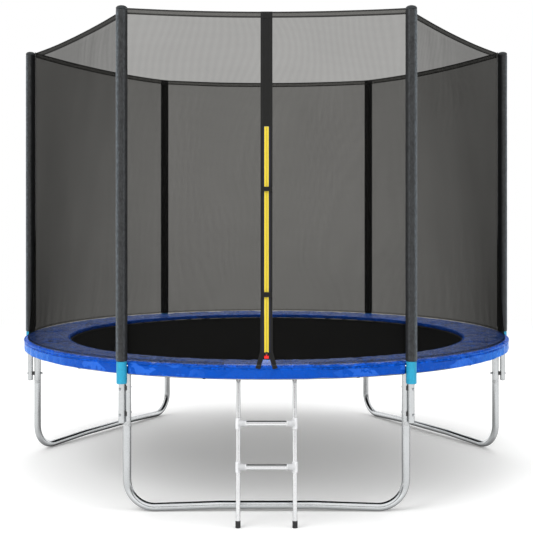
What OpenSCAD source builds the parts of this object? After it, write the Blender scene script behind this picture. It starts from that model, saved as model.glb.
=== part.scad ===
// Round backyard trampoline with an outside-pole safety enclosure, zipped
// entry and a hooked two-rung ladder. Millimetres, +Z up. The origin is on the
// ground under the centre of the mat; the entry and the ladder face -Y.

/* [Frame] */
// Centre-line radius of the ring and of the leg tubes
ring_r = 1502; // [1480:1:1520]
// Outside diameter of the ring and leg tubes
tube_d = 42; // [40:1:44]
// Wall of the ring and leg tubes
tube_wall = 1.5; // [1.2:0.1:2]
// Height of the ring's centre line
ring_z = 731; // [700:1:760]
// Half the angle between the two uprights of one leg
leg_half = 28.8; // [27:0.1:30]
// Centre-line radius of the bends in a leg base
bend_r = 145; // [120:1:160]
// Height of the joint between a leg base and its uprights
leg_joint_z = 452; // [420:1:456]

/* [Enclosure] */
// Distance from the centre to each pole's axis
pole_r = 1549; // [1548:1:1556]
// Outside diameter of the poles
pole_d = 32; // [30:1:34]
// Outside diameter of the foam sleeves
foam_d = 61; // [56:1:62]
// Height of the top of the pole caps
top_z = 2616; // [2400:1:2700]
// Thickness of the netting stand-in
net_t = 1; // [1:0.5:2]
// How far the net's top edge sags between two poles
net_sag = 20; // [0:1:40]

/* [Bounce surface] */
// Number of springs
spring_count = 60; // [48:6:72]
// Radius of the jumping mat
mat_r = 1296; // [1290:1:1300]
// Outside radius of the padded cover's skirt
pad_r = 1538; // [1536:1:1542]
// Inside radius of the padded cover
pad_in_r = 1258; // [1240:1:1270]
// Height of the padded cover's top
pad_z = 784; // [782:1:790]
// Height of the skirt's lower edge
skirt_z = 719; // [716:1:726]

/* [Ladder] */
// Distance between the two rails
rail_gap = 280; // [260:2:300]
// Outside diameter of the rails
rail_d = 22; // [20:1:24]
// Lean of the ladder from upright, in degrees
lean = 6; // [5:0.5:8]

/* [Hidden] */
$fn = 48;

// Colours shared by several nodes
steel = [0.78, 0.80, 0.81];
foam_grey = [0.25, 0.27, 0.28];
net_black = [0.12, 0.12, 0.12, 0.5];
tape_black = [0.12, 0.12, 0.12];
black = [0.1, 0.1, 0.1];
ladder_grey = [0.82, 0.82, 0.83];

cut = 1;                              // how far a cutter runs past a face
joint_gap = 0.4;                      // visible gap at a swaged joint

tube_r = tube_d / 2;
bore_r = tube_r - tube_wall;          // inside radius of a ring or leg tube
tube_fit = 0.15;                      // clearance of a swaged end
plug_r = bore_r - tube_fit;           // outside radius of a swaged end
plug_bore_r = plug_r - tube_wall;
ring_out = ring_r + tube_r;
ring_in = ring_r - tube_r;
swage_len = 60;                       // length of a swaged end of ring or leg

// Directions of the uprights and poles, in order round the ring from front left
posts = [0 : 5];
post_angles = [
    270 - leg_half, 270 + leg_half,
    390 - leg_half, 390 + leg_half,
    510 - leg_half, 510 + leg_half
];
function next_angle(i) = i < 5 ? post_angles[i + 1] : post_angles[0] + 360;

// ------------------------------------------------------------ shared helpers
// Turns to a direction, then moves out and up
module place(angle, radius = 0, height = 0) {
    rotate([0, 0, angle]) translate([radius, 0, height]) children();
}

module at_pole(i) {
    place(post_angles[i], pole_r) children();
}

module each_pole() {
    for (i = posts) at_pole(i) children();
}

// Round bar bent about the Z axis
module bent_bar(angle, bend, radius, facets) {
    rotate_extrude(angle = angle, $fn = facets)
        translate([bend, 0]) circle(r = radius, $fn = 48);
}

// Upright tube whose swaged lower end goes down into the tube below the joint
module swaged_tube(outer, wall, fit, joint, top, swage, bore_len) {
    plug = outer - wall - fit;
    difference() {
        union() {
            translate([0, 0, joint + joint_gap])
                cylinder(r = outer, h = top - joint - joint_gap);
            translate([0, 0, joint - swage]) cylinder(r = plug, h = swage + 10);
        }
        translate([0, 0, joint + 14]) cylinder(r = outer - wall, h = bore_len);
        translate([0, 0, joint - swage - cut]) cylinder(r = plug - wall, h = swage + 30);
    }
}

// ---------------------------------------------------------------- ring rails
joint_turn = 11;                      // ring joints sit this far past each upright
swage_turn = swage_len / ring_r * 180 / PI;
gap_turn = joint_gap / ring_r * 180 / PI;
stub_len = 58;                        // stub that hangs below the ring
spring_step = 360 / spring_count;
hole_tilt = 40;                       // from straight up towards the centre
hole_r = 3.6;

module ring_arc(start, angle, radius) {
    rotate([0, 0, start]) translate([0, 0, ring_z]) bent_bar(angle, ring_r, radius, 360);
}

// Holes in the upper inside face, for the springs between two directions
module spring_holes(from, to) {
    for (k = [0 : spring_count * 2]) {
        angle = (k + 0.5) * spring_step + 240;
        if (angle > from && angle < to)
            place(angle, ring_r, ring_z) rotate([0, -hole_tilt, 0])
                translate([0, 0, 9]) cylinder(r = hole_r, h = 20, $fn = 24);
    }
}

// One curved rail. Its open end takes the next rail's swaged end, and a short
// welded stub hangs into the top of a leg upright.
module ring_rail(i) {
    start = post_angles[i] + joint_turn;
    stub_angle = next_angle(i);
    sweep = stub_angle + joint_turn - start;
    stub_low = ring_z - tube_r - stub_len;
    difference() {
        union() {
            ring_arc(start + gap_turn, sweep - 2 * gap_turn, tube_r);
            ring_arc(start - swage_turn, swage_turn + 1, plug_r);
            place(stub_angle, ring_r, stub_low) cylinder(r = plug_r, h = stub_len + tube_r);
        }
        // bore: plain for most of the rail, narrower through the swage
        ring_arc(start + 1, sweep, bore_r);
        ring_arc(start - swage_turn - 1, swage_turn + 3, plug_bore_r);
        place(stub_angle, ring_r, stub_low - cut)
            cylinder(r = plug_bore_r, h = stub_len + cut + 3);
        spring_holes(start - swage_turn - 0.4, start + sweep - 0.3);
    }
}

module rail_front() { color(steel) ring_rail(0); }
module rail_front_right() { color(steel) ring_rail(1); }
module rail_back_right() { color(steel) ring_rail(2); }
module rail_back() { color(steel) ring_rail(3); }
module rail_back_left() { color(steel) ring_rail(4); }
module rail_front_left() { color(steel) ring_rail(5); }

// ----------------------------------------------------------------- leg bases
leg_x = ring_r * sin(leg_half);       // half the leg's width
leg_y = ring_r * cos(leg_half);       // distance of the leg's plane
rise = 2;                             // slope of the base's arms, in degrees
arm = 320;                            // length of each sloping arm
mid_r = 300;                          // gentle bend into the level middle
bend_slim = 0.1;                      // a drawn bend is this much smaller in radius

bend_z = tube_r + bend_r;             // centre of the main bend
bend_x = leg_x - bend_r;
arm_x = bend_x - bend_r * sin(rise);  // where the sloping arm starts
arm_z = bend_z - bend_r * cos(rise);
mid_x = arm_x - arm * cos(rise);      // where it ends
mid_z = arm_z + arm * sin(rise);
mid_cx = mid_x - mid_r * sin(rise);   // centre of the gentle bend
mid_cz = mid_z - mid_r * cos(rise);

// Right half of a base in its own X-Z plane. Straights run 1 mm into the bends.
// past = extra length at the open top
module half_base(radius, past) {
    bend_radius = radius - bend_slim;
    translate([leg_x, 0, bend_z - 1])
        cylinder(r = radius, h = leg_joint_z - bend_z + 1 + past);
    translate([bend_x, 0, bend_z]) rotate([90, 0, 0]) rotate([0, 0, -90 - rise])
        bent_bar(90 + rise, bend_r, bend_radius, 180);
    translate([arm_x, 0, arm_z]) rotate([0, -90 + rise, 0]) translate([0, 0, -1])
        cylinder(r = radius, h = arm + 2);
    translate([mid_cx, 0, mid_cz]) rotate([90, 0, 0]) rotate([0, 0, 90 - rise])
        bent_bar(rise, mid_r, bend_radius, 720);
}

module base_solid(radius, past) {
    half_base(radius, past);
    mirror([1, 0, 0]) half_base(radius, past);
    translate([-mid_cx - 1, 0, mid_cz + mid_r]) rotate([0, 90, 0])
        cylinder(r = radius, h = 2 * mid_cx + 2);
}

// angle = direction of the leg from the centre
module leg_base(angle) {
    rotate([0, 0, angle - 270]) translate([0, -leg_y, 0]) difference() {
        base_solid(tube_r, 0);
        base_solid(bore_r, 2);
    }
}

module leg_base_front() { color(steel) leg_base(270); }
module leg_base_right() { color(steel) leg_base(30); }
module leg_base_left() { color(steel) leg_base(150); }

// -------------------------------------------------------------- leg uprights
bolt_z = [508, 641];                  // heights of the two bolts at each pole
bolt_hole_r = 4.3;
upright_top = ring_z - tube_r - 2;

// Radial bolt holes through a tube on the Z axis
module bolt_holes() {
    for (z = bolt_z) translate([-40, 0, z]) rotate([0, 90, 0])
        cylinder(r = bolt_hole_r, h = 80, $fn = 24);
}

module leg_upright(i) {
    place(post_angles[i], ring_r) difference() {
        swaged_tube(outer = tube_r, wall = tube_wall, fit = tube_fit, joint = leg_joint_z,
            top = upright_top, swage = swage_len, bore_len = 400);
        bolt_holes();
    }
}

module leg_upright_front_left() { color(steel) leg_upright(0); }
module leg_upright_front_right() { color(steel) leg_upright(1); }
module leg_upright_side_right() { color(steel) leg_upright(2); }
module leg_upright_back_right() { color(steel) leg_upright(3); }
module leg_upright_back_left() { color(steel) leg_upright(4); }
module leg_upright_side_left() { color(steel) leg_upright(5); }

// --------------------------------------------------------------------- poles
pole_rad = pole_d / 2;
pole_wall = 1.2;
pole_bore_r = pole_rad - pole_wall;
pole_low = 466;
pole_joint = 1500;                    // joint of the lower and upper halves
pole_top = top_z - 14;
slide_fit = 0.3;                      // clearance of foam and cuffs round a pole
snug_fit = 0.15;                      // clearance of caps, saddles and ladder joints

module pole_lower(i) {
    length = pole_joint - pole_low;
    at_pole(i) difference() {
        translate([0, 0, pole_low]) cylinder(r = pole_rad, h = length);
        translate([0, 0, pole_low - cut]) cylinder(r = pole_bore_r, h = length + 2 * cut);
        bolt_holes();
    }
}

module pole_lower_front_left() { color(steel) pole_lower(0); }
module pole_lower_front_right() { color(steel) pole_lower(1); }
module pole_lower_side_right() { color(steel) pole_lower(2); }
module pole_lower_back_right() { color(steel) pole_lower(3); }
module pole_lower_back_left() { color(steel) pole_lower(4); }
module pole_lower_side_left() { color(steel) pole_lower(5); }

module pole_uppers() {
    color(steel) each_pole()
        swaged_tube(outer = pole_rad, wall = pole_wall, fit = 0.12, joint = pole_joint,
            top = pole_top, swage = 70, bore_len = 1200);
}

foam_low = pad_z + 1;
foam_top = top_z - 22;

module foam_sleeve(i) {
    at_pole(i) difference() {
        translate([0, 0, foam_low]) cylinder(d = foam_d, h = foam_top - foam_low);
        translate([0, 0, foam_low - cut]) cylinder(r = pole_rad + slide_fit, h = foam_top);
    }
}

module foam_sleeve_front_left() { color(foam_grey) foam_sleeve(0); }
module foam_sleeve_front_right() { color(foam_grey) foam_sleeve(1); }
module foam_sleeve_side_right() { color(foam_grey) foam_sleeve(2); }
module foam_sleeve_back_right() { color(foam_grey) foam_sleeve(3); }
module foam_sleeve_back_left() { color(foam_grey) foam_sleeve(4); }
module foam_sleeve_side_left() { color(foam_grey) foam_sleeve(5); }

cuff_d = 55;
cuff_low = 668;
cuff_high = pad_z - 1;

// Each cuff is pressed flat, 1 mm clear of the ring.
module pole_cuffs() {
    color([0.18, 0.66, 0.8]) each_pole() difference() {
        translate([0, 0, cuff_low]) cylinder(d = cuff_d, h = cuff_high - cuff_low);
        translate([0, 0, cuff_low - cut]) cylinder(r = pole_rad + slide_fit, h = 200);
        translate([ring_out - pole_r + 1 - 100, -50, cuff_low - 2]) cube([100, 100, 200]);
    }
}

// Half section of a cap: [radius, height]
cap_section = [
    [0, top_z], [14, top_z - 1.5], [23, top_z - 5], [28.5, top_z - 10.5],
    [29.5, top_z - 13.5], [29.5, foam_top + 0.5], [0, foam_top + 0.5]
];

module pole_caps() {
    color([0.13, 0.15, 0.16]) each_pole() difference() {
        rotate_extrude() polygon(cap_section);
        translate([0, 0, foam_top - cut])
            cylinder(r = pole_rad + snug_fit, h = pole_top - foam_top + 1.3);
    }
}

// Half section of an end plug's domed underside: [radius, height]
plug_dome = [[0, 0], [10, 0.2], [14, 1.6], [pole_rad, 4], [0, 4.2]];

module pole_end_plugs() {
    color([0.2, 0.2, 0.2]) each_pole() {
        translate([0, 0, pole_low]) cylinder(r = pole_bore_r - 0.1, h = 16);
        translate([0, 0, pole_low - 4.1]) rotate_extrude() polygon(plug_dome);
    }
}

// --------------------------------------------------- bolts, nuts and spacers
pole_out = pole_r + pole_rad;         // outermost side of a pole
bolt_r = 4;
bolt_past = 13;                       // how far a bolt stands out of the upright
nut_h = 6.8;
washer_r = 8.6;
// Half section of a bolt's low domed head: [radius, height]
head_section = [[0, 0], [7.2, 0], [7.2, 1.4], [5.4, 3.6], [2.4, 4.6], [0, 4.8]];

// At the centre, turned to each pole and raised to each of its bolts
module each_bolt() {
    for (i = posts) for (z = bolt_z) place(post_angles[i], 0, z) children();
}

module pole_bolts() {
    color(steel) each_bolt() {
        translate([ring_in - bolt_past, 0, 0]) rotate([0, 90, 0])
            cylinder(r = bolt_r, h = pole_out - ring_in + bolt_past + 1, $fn = 32);
        translate([pole_out + 0.2, 0, 0]) rotate([0, 90, 0])
            rotate_extrude() polygon(head_section);
    }
}

// Hexagonal nut with a washer against the upright and a collar joining them
module pole_bolt_nuts() {
    color(steel) each_bolt() translate([ring_in - 8.8, 0, 0]) rotate([0, 90, 0])
        difference() {
            union() {
                cylinder(r = 7.5, h = nut_h, $fn = 6);
                translate([0, 0, nut_h + 0.2]) cylinder(r = washer_r, h = 1.6);
                translate([0, 0, 6]) cylinder(r = 5.6, h = 2);
            }
            translate([0, 0, -cut]) cylinder(r = bolt_r + 0.05, h = 12);
        }
}

spacer_w = 24;
spacer_h = 22;

// Plastic saddle between an upright and its pole
module pole_spacers() {
    saddle_len = pole_r - pole_rad - ring_out + 7;
    color([0.9, 0.9, 0.9]) each_bolt() difference() {
        translate([ring_out - 4, -spacer_w / 2, -spacer_h / 2])
            cube([saddle_len, spacer_w, spacer_h]);
        translate([ring_r, 0, -20]) cylinder(r = tube_r + snug_fit, h = 40);
        translate([pole_r, 0, -20]) cylinder(r = pole_rad + snug_fit, h = 40);
        translate([ring_out - 10, 0, 0]) rotate([0, 90, 0])
            cylinder(r = bolt_hole_r, h = 60, $fn = 24);
    }
}

// ------------------------------------------------------------------- springs
mat_z = 746;                          // middle of the mat and of the springs
loop_r = mat_r + 5;                   // middle of each mat ring's base bar
apex_r = mat_r + 33;                  // apex of each mat ring
wire_r = 1.6;
coil_r = 10;
taper = 9;                            // length of the coil's tapered ends
eye_r = 5.2;                          // centre-line radius of the inner hook
spring_in = apex_r + 16;
spring_out = ring_r - 30;

// [x, z] of a point on a spring hole's axis, out from the ring's centre line
function hole_point(out) =
    [ring_r - out * sin(hole_tilt), ring_z + out * cos(hole_tilt)];
hook_bend = hole_point(25.2);
hook_tip = hole_point(12);

// Coil body, tapers and neck of the inner hook: [radius, distance from centre]
coil_section = [
    [0, apex_r + 4.4], [1.7, apex_r + 4.4], [1.7, spring_in],
    [coil_r, spring_in + taper], [coil_r, spring_out - taper],
    [3, spring_out], [0, spring_out]
];

module each_spring() {
    for (k = [0 : spring_count - 1]) rotate([0, 0, (k + 0.5) * spring_step]) children();
}

// Round bar between two [x, z] points in the local X-Z plane
module bar(from, to, radius) {
    run = to - from;
    translate([from[0], 0, from[1]]) rotate([0, atan2(run[0], run[1]), 0])
        cylinder(r = radius, h = norm(run), $fn = 16);
}

module spring() {
    translate([0, 0, mat_z]) rotate([0, 90, 0]) rotate_extrude() polygon(coil_section);
    // hook into the ring
    bar([spring_out - 1, mat_z], hook_bend, wire_r);
    bar(hook_bend + [0.9, 1.1], hook_tip, wire_r - 0.05);
    // hook round the mat ring's apex
    translate([apex_r, 0, mat_z]) rotate([90, 0, 0]) rotate([0, 0, -300])
        rotate_extrude(angle = 310, $fn = 60)
            translate([eye_r, 0]) circle(r = wire_r, $fn = 24);
}

module springs() { color(steel) each_spring() spring(); }

// Triangular ring, its base held in a webbing loop on the mat's edge
module mat_ring() {
    half = 1.7;                       // half the ring's thickness
    translate([0, 0, mat_z - half]) linear_extrude(2 * half) difference() {
        polygon([
            [loop_r - half, -17], [loop_r - half, 17], [loop_r + half, 18],
            [apex_r + half, 6.5], [apex_r + half, -6.5], [loop_r + half, -18]
        ]);
        polygon([
            [loop_r + half, -13.5], [loop_r + half, 13.5],
            [apex_r - half, 4], [apex_r - half, -4]
        ]);
    }
}

module spring_rings() { color(steel) each_spring() mat_ring(); }

// ----------------------------------------------------------------------- mat
mat_t = 3;
webbing_t = 1.5;
webbing_w = 44;
tab_w = 22;
tab_reach = 34;                       // how far a tab runs in over the mat

module mat() {
    color([0.07, 0.07, 0.07]) translate([0, 0, mat_z - mat_t / 2])
        cylinder(r = mat_r, h = mat_t, $fn = 96);
}

// Webbing loop, sewn over the mat's edge band
module mat_tab() {
    translate([0, -tab_w / 2, mat_z]) rotate([90, 0, 0]) mirror([0, 0, 1])
        linear_extrude(tab_w) difference() {
            union() {
                translate([loop_r, 0]) circle(r = 4.5);
                translate([mat_r - tab_reach, 3.05])
                    square([loop_r - mat_r + tab_reach, 1.2]);
            }
            translate([loop_r, 0]) circle(r = 2.6);
        }
}

// Edge bands above and below the mat, with a tab for each spring
module mat_webbing() {
    color(black) {
        for (z = [mat_z + mat_t / 2, mat_z - mat_t / 2 - webbing_t])
            translate([0, 0, z]) linear_extrude(webbing_t) difference() {
                circle(r = mat_r);
                circle(r = mat_r - webbing_w);
            }
        each_spring() mat_tab();
    }
}

// ----------------------------------------------------------------------- pad
pad_under = ring_z + tube_r + 6;
skirt_t = 4;
notch_r = cuff_d / 2 + 1.5;
// Half section of the pad and its skirt: [radius, height]
pad_section = [
    [pad_in_r, pad_under], [pad_r - skirt_t, pad_under],
    [pad_r - skirt_t, skirt_z], [pad_r, skirt_z], [pad_r, pad_z - 7],
    [pad_r - 2.5, pad_z - 2], [pad_r - 8, pad_z],
    [pad_in_r + 6, pad_z], [pad_in_r, pad_z - 6]
];

// The pad is notched from outside round each cuff.
module pad() {
    color([0.1, 0.34, 0.78]) difference() {
        rotate_extrude($fn = 96) polygon(pad_section);
        each_pole() translate([0, 0, skirt_z - 20]) {
            cylinder(r = notch_r, h = 200);
            translate([0, -notch_r, 0]) cube([60, 2 * notch_r, 200]);
        }
    }
}

strap_w = 13;

// Elastic ties from the pad's underside round the ring
module pad_straps() {
    color(black) for (k = [0 : 11])
        place(k * 30 + 18, ring_r, ring_z) translate([0, strap_w / 2, 0]) rotate([90, 0, 0])
            linear_extrude(strap_w) difference() {
                circle(r = tube_r + 3.6);
                circle(r = tube_r + 1.4);
            }
}

// ----------------------------------------------------------------------- net
net_r = pole_r - foam_d / 2 - 4.5;    // outer face of the netting
net_low = pad_z + 3;
net_top = top_z - 6;
band_h = 32;                          // height of the top band
hem_h = 22;
body_top = net_top - band_h - 1;
seam = 0.0008;                        // the panels stop short of each pole seam
door_half = 32;                       // door edge to the middle of the entry
door_s = 0.5 - door_half / (2 * net_r * sin(leg_half));

// Bay i lies between poles i and i + 1; s runs across it from 0 to 1.
function polar(radius, angle) = [radius * cos(angle), radius * sin(angle)];

// The top edge is straight in plan.
function chord(radius, i, s) =
    let (from = polar(radius, post_angles[i]), to = polar(radius, next_angle(i)))
    from + (to - from) * s;

// The lower edge follows the pad's rim.
function low_angle(i, s) = post_angles[i] + (next_angle(i) - post_angles[i]) * s;

// Point on the net; v runs from 0 at height low to 1 at height high
function net_point(i, s, v, radius, low, high, low_sag, high_sag) =
    let (
        rim = polar(radius, low_angle(i, s)),
        dip = 4 * s * (1 - s),
        start = low - low_sag * dip,
        z = start + (high - high_sag * dip - start) * v,
        blend = (z - net_low) / (net_top - net_low),
        plan = rim + (chord(radius, i, s) - rim) * blend
    )
    [plan[0], plan[1], z];

// Two triangles that fan from the first corner of a four-sided face
function fan(p, q, r, s) = [[p, q, r], [p, r, s]];

// Closed sheet between s0 and s1 and two heights, whose lower and upper edges
// sag. Its outer face is at radius; cols and rows count its facets.
module net_sheet(i, s0, s1, radius, thick, low, high, cols, rows,
                 low_sag = 0, high_sag = net_sag) {
    points = [for (k = [0, 1]) for (a = [0 : cols]) for (b = [0 : rows])
        net_point(i, s0 + (s1 - s0) * a / cols, b / rows, radius - k * thick,
            low, high, low_sag, high_sag)];
    layer = (cols + 1) * (rows + 1);
    // k is 0 on the outer face and 1 on the inner one
    function id(k, a, b) = k * layer + a * (rows + 1) + b;
    outer = [for (a = [0 : cols - 1]) for (b = [0 : rows - 1]) each
        fan(id(0, a, b), id(0, a, b + 1), id(0, a + 1, b + 1), id(0, a + 1, b))];
    inner = [for (a = [0 : cols - 1]) for (b = [0 : rows - 1]) each
        fan(id(1, a, b), id(1, a + 1, b), id(1, a + 1, b + 1), id(1, a, b + 1))];
    bottom = [for (a = [0 : cols - 1]) each
        fan(id(0, a, 0), id(0, a + 1, 0), id(1, a + 1, 0), id(1, a, 0))];
    top = [for (a = [0 : cols - 1]) each
        fan(id(0, a, rows), id(1, a, rows), id(1, a + 1, rows), id(0, a + 1, rows))];
    start = [for (b = [0 : rows - 1]) each
        fan(id(0, 0, b), id(1, 0, b), id(1, 0, b + 1), id(0, 0, b + 1))];
    end = [for (b = [0 : rows - 1]) each
        fan(id(0, cols, b), id(0, cols, b + 1), id(1, cols, b + 1), id(1, cols, b))];
    polyhedron(points = points, faces = concat(outer, inner, bottom, top, start, end));
}

module net_panel(i, s0, s1, cols) {
    net_sheet(i, s0, s1, net_r, net_t, net_low, body_top, cols, 2);
}

module net_walls() { color(net_black) for (i = [1 : 5]) net_panel(i, seam, 1 - seam, 8); }
module net_door_left() { color(net_black) net_panel(0, seam, door_s, 4); }
module net_door_right() { color(net_black) net_panel(0, 1 - door_s, 1 - seam, 4); }

module net_top_band() {
    color([0.3, 0.3, 0.3]) for (i = posts)
        net_sheet(i, seam, 1 - seam, net_r + 1, 3, net_top - band_h, net_top, 8, 1, net_sag);
}

tie_w = 24;
tie_low = net_low + 24;

// Upright tape sewn to each corner of the net, against the foam, and fastened
// to the pole's head
module net_ties() {
    color(tape_black) for (i = posts)
        place(post_angles[i], net_r + 1.3, tie_low)
            translate([0, -tie_w / 2, 0]) cube([2.8, tie_w, net_top + 2 - tie_low]);
}

module hem_strip(i, s0, s1, cols) {
    net_sheet(i, s0, s1, net_r + 3.6, 2, net_low, net_low + hem_h, cols, 1, 0, 0);
}

// At the entry the hem stops a quarter of each half panel short.
module net_hem() {
    hem_end = seam + 0.75 * (door_s - seam);
    color(tape_black) {
        for (i = [1 : 5]) hem_strip(i, seam, 1 - seam, 8);
        hem_strip(0, seam, hem_end, 3);
        hem_strip(0, 1 - hem_end, 1 - seam, 3);
    }
}

// ----------------------------------------------------- entry, zip and straps
// The door's centre line leans in as it rises, from the rim to the top chord.
zip_tilt = atan2(net_r - net_r * cos(leg_half), net_top - net_low);
zip_len = (net_top - net_sag - net_low) / cos(zip_tilt);
function zip_at(z) = (z - net_low) / cos(zip_tilt);

zip_t = 2;                            // thickness of tape and bands
band_half = 31;                       // middle of the zip to a band's far edge
band_w = 19;
band_end = zip_len - band_h - 2;      // top of the bands, along the zip
tape_w = 22.8;
tape_low = 848;
tape_high = 1988;
keeper_spans = [[1120, 1149], [1654, 1680]];  // lower and upper heights
coil_low = zip_at(tape_low - 14);
slider_low = zip_at(tape_low - 13);
slider_h = 16;
pin_y = -7.3;
pin_z = 3.2;
pin_r = 1;

// Local frame: x across, z up along the zip, -y outwards, 0 on the net's face
module on_zip() {
    translate([0, -net_r, net_low]) rotate([-zip_tilt, 0, 0]) children();
}

// Flat strip from x to x + width, between two places along the zip
module zip_strip(x, width, low, high) {
    on_zip() translate([x, -zip_t / 2, low]) cube([width, zip_t, high - low]);
}

// Shallow channel that bridges both bands, open towards the net
module keeper(low, high) {
    on_zip() difference() {
        translate([-band_half, -11.2, zip_at(low) + 2])
            cube([2 * band_half, 12.2, zip_at(high) - zip_at(low) - 4]);
        translate([2 - band_half, -9.6, 0]) cube([2 * band_half - 4, 20, 3000]);
    }
}

module zip_bands() {
    color([0.16, 0.16, 0.16]) {
        for (x = [-band_half, band_half - band_w])
            zip_strip(x, band_w, zip_at(tape_low - 2), band_end);
        // plain web above the zip
        zip_strip(-band_half, 2 * band_half, zip_at(tape_high) + 1, band_end);
        for (span = keeper_spans) keeper(span[0], span[1]);
    }
}

module zip_tape() {
    color([0.88, 0.79, 0.2])
        zip_strip(-tape_w / 2, tape_w, zip_at(tape_low), zip_at(tape_high));
}

// Coil rail of the zip: narrow neck and wider head, which the slider grips
module zip_coil() {
    color([0.8, 0.72, 0.15]) on_zip() translate([0, 0, coil_low])
        linear_extrude(zip_at(tape_high) - coil_low)
            polygon([
                [-1.3, -1], [-1.3, -2.4], [-3, -2.4], [-3, -4.4],
                [3, -4.4], [3, -2.4], [1.3, -2.4], [1.3, -1]
            ]);
}

module zip_slider() {
    color(black) on_zip() translate([0, 0, slider_low]) difference() {
        union() {
            // body, slotted for the coil rail's neck and head
            linear_extrude(slider_h) difference() {
                translate([-5.5, -5.6]) square([11, 4.4]);
                translate([-1.45, -3]) square([2.9, 3]);
                translate([-3.1, -4.5]) square([6.2, 2.2]);
            }
            // two lugs that carry the pull's pin
            for (side = [-1, 1]) translate([side * 4 - 1.5, -8.8, 0.6]) cube([3, 3.4, 5.2]);
        }
        translate([-10, pin_y, pin_z]) rotate([0, 90, 0])
            cylinder(r = pin_r + 0.05, h = 20, $fn = 24);
    }
}

// Red pull tab on a pin between the slider's lugs
module zip_tag() {
    pin_len = 10.8;
    tag_t = 2.3;
    color([0.93, 0.1, 0.08]) on_zip() translate([0, 0, slider_low]) {
        translate([-pin_len / 2, pin_y, pin_z]) rotate([0, 90, 0])
            cylinder(r = pin_r, h = pin_len, $fn = 24);
        translate([-2.2, pin_y - 1.2, -4]) cube([4.4, tag_t, 8.3]);
        translate([-11, pin_y - 1.2, -17]) cube([22, tag_t, 14]);
    }
}

door_strap_w = 25;
door_strap_splay = 16;                // degrees from the zip's line

// Two straps that spread downwards from the zip's lower end
module door_straps() {
    color([0.12, 0.12, 0.1]) for (side = [-1, 1])
        on_zip() translate([side * 20, -3.4, zip_at(tape_low - 1)])
            rotate([0, -side * door_strap_splay, 0]) mirror([0, 0, 1])
                translate([-door_strap_w / 2, 0, 0])
                    cube([door_strap_w, 2, zip_at(tape_low) - 4.5]);
}

// -------------------------------------------------------------------- ladder
hook_in = tube_r + 0.7;               // inside radius of a hook
hook_t = 4;
hook_w = 10;
hook_tail = 95;                       // outer leg, down inside the rail
hook_lip = 14;                        // inner leg
overlap = 0.02;                       // how far joined shapes run into each other
rail_x = rail_gap / 2;
hook_y = -sqrt(ring_r * ring_r - rail_x * rail_x);
rail_off = hook_in + hook_t / 2;      // rail axis, outwards from the hook's centre
rail_rad = rail_d / 2;
rail_wall = 1.2;
rail_top = -45;                       // below the hook's centre
rung_z = [288, 499];
rung_r = 12.5;
rung_wall = 1.3;

// Place along the leaning ladder, from the hooks, of a height above the ground
function ladder_at(z) = -(ring_z - z) / cos(lean);
rail_low = ladder_at(6);

// Origin on the line through both hook centres, -y outwards
module ladder_frame() {
    translate([0, hook_y, ring_z]) rotate([-lean, 0, 0]) children();
}

// side = -1 for the left rail, 1 for the right
module on_rail(side, along = 0) {
    ladder_frame() translate([side * rail_x, -rail_off, along]) children();
}

module ladder_rail(side) {
    length = rail_top - rail_low;
    on_rail(side) difference() {
        translate([0, 0, rail_low]) cylinder(r = rail_rad, h = length);
        translate([0, 0, rail_low - cut])
            cylinder(r = rail_rad - rail_wall, h = length + 2 * cut);
    }
}

module ladder_rail_left() { color(ladder_grey) ladder_rail(-1); }
module ladder_rail_right() { color(ladder_grey) ladder_rail(1); }

module ladder_rung(z) {
    rung_gap = 1.2;                   // clearance from each rail
    ladder_frame() translate([-rail_x + rail_rad + rung_gap, -rail_off, ladder_at(z)])
        rotate([0, 90, 0]) difference() {
            cylinder(r = rung_r, h = rail_gap - rail_d - 2 * rung_gap);
            translate([0, 0, -cut]) cylinder(r = rung_r - rung_wall, h = rail_gap);
        }
}

module ladder_rungs() { color(ladder_grey) for (z = rung_z) ladder_rung(z); }

// Moulded T-joint: a sleeve on the rail and a socket on the rung, widest at
// the rail
module ladder_joint(side, z) {
    sleeve_h = 52;
    on_rail(side, ladder_at(z)) difference() {
        union() {
            translate([0, 0, -sleeve_h / 2]) cylinder(r = rail_rad + 3, h = sleeve_h);
            rotate([0, -90 * side, 0]) cylinder(r1 = 17.5, r2 = 15.2, h = 40);
        }
        translate([0, 0, -40]) cylinder(r = rail_rad + snug_fit, h = 80);
        rotate([0, -90 * side, 0]) translate([0, 0, rail_rad + 1])
            cylinder(r = rung_r + snug_fit, h = 60);
    }
}

module ladder_joints() {
    color(ladder_grey) for (z = rung_z) for (side = [-1, 1]) ladder_joint(side, z);
}

module ladder_hook(side) {
    ladder_frame() translate([side * rail_x, 0, 0]) {
        // strap over the ring, as a bent flat bar
        rotate([90, 0, 90]) translate([0, 0, -hook_w / 2]) linear_extrude(hook_w) {
            difference() {
                circle(r = hook_in + hook_t);
                circle(r = hook_in);
                translate([-60, -60]) square([120, 60]);
            }
            translate([-hook_in - hook_t, -hook_tail]) square([hook_t, hook_tail + overlap]);
            translate([hook_in, -hook_lip]) square([hook_t, hook_lip + overlap]);
        }
        // plug that holds the strap in the rail's open end, and its flange
        translate([0, -rail_off, rail_top - 18])
            cylinder(r = rail_rad - rail_wall - 0.15, h = 18.3);
        translate([0, -rail_off, rail_top + 0.2]) cylinder(r = rail_rad, h = 2.5);
    }
}

module ladder_hooks() { color(ladder_grey) for (side = [-1, 1]) ladder_hook(side); }

// Cup round the rail's lower end, cut level with the ground
module ladder_foot(side) {
    intersection() {
        on_rail(side) difference() {
            translate([0, 0, ladder_at(30)]) mirror([0, 0, 1])
                cylinder(r = rail_rad + 1.8, h = 60);
            translate([0, 0, rail_low - 0.2]) cylinder(r = rail_rad + 0.1, h = 60);
        }
        translate([-500, -2000, 0]) cube([1000, 1000, 200]);
    }
}

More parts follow.
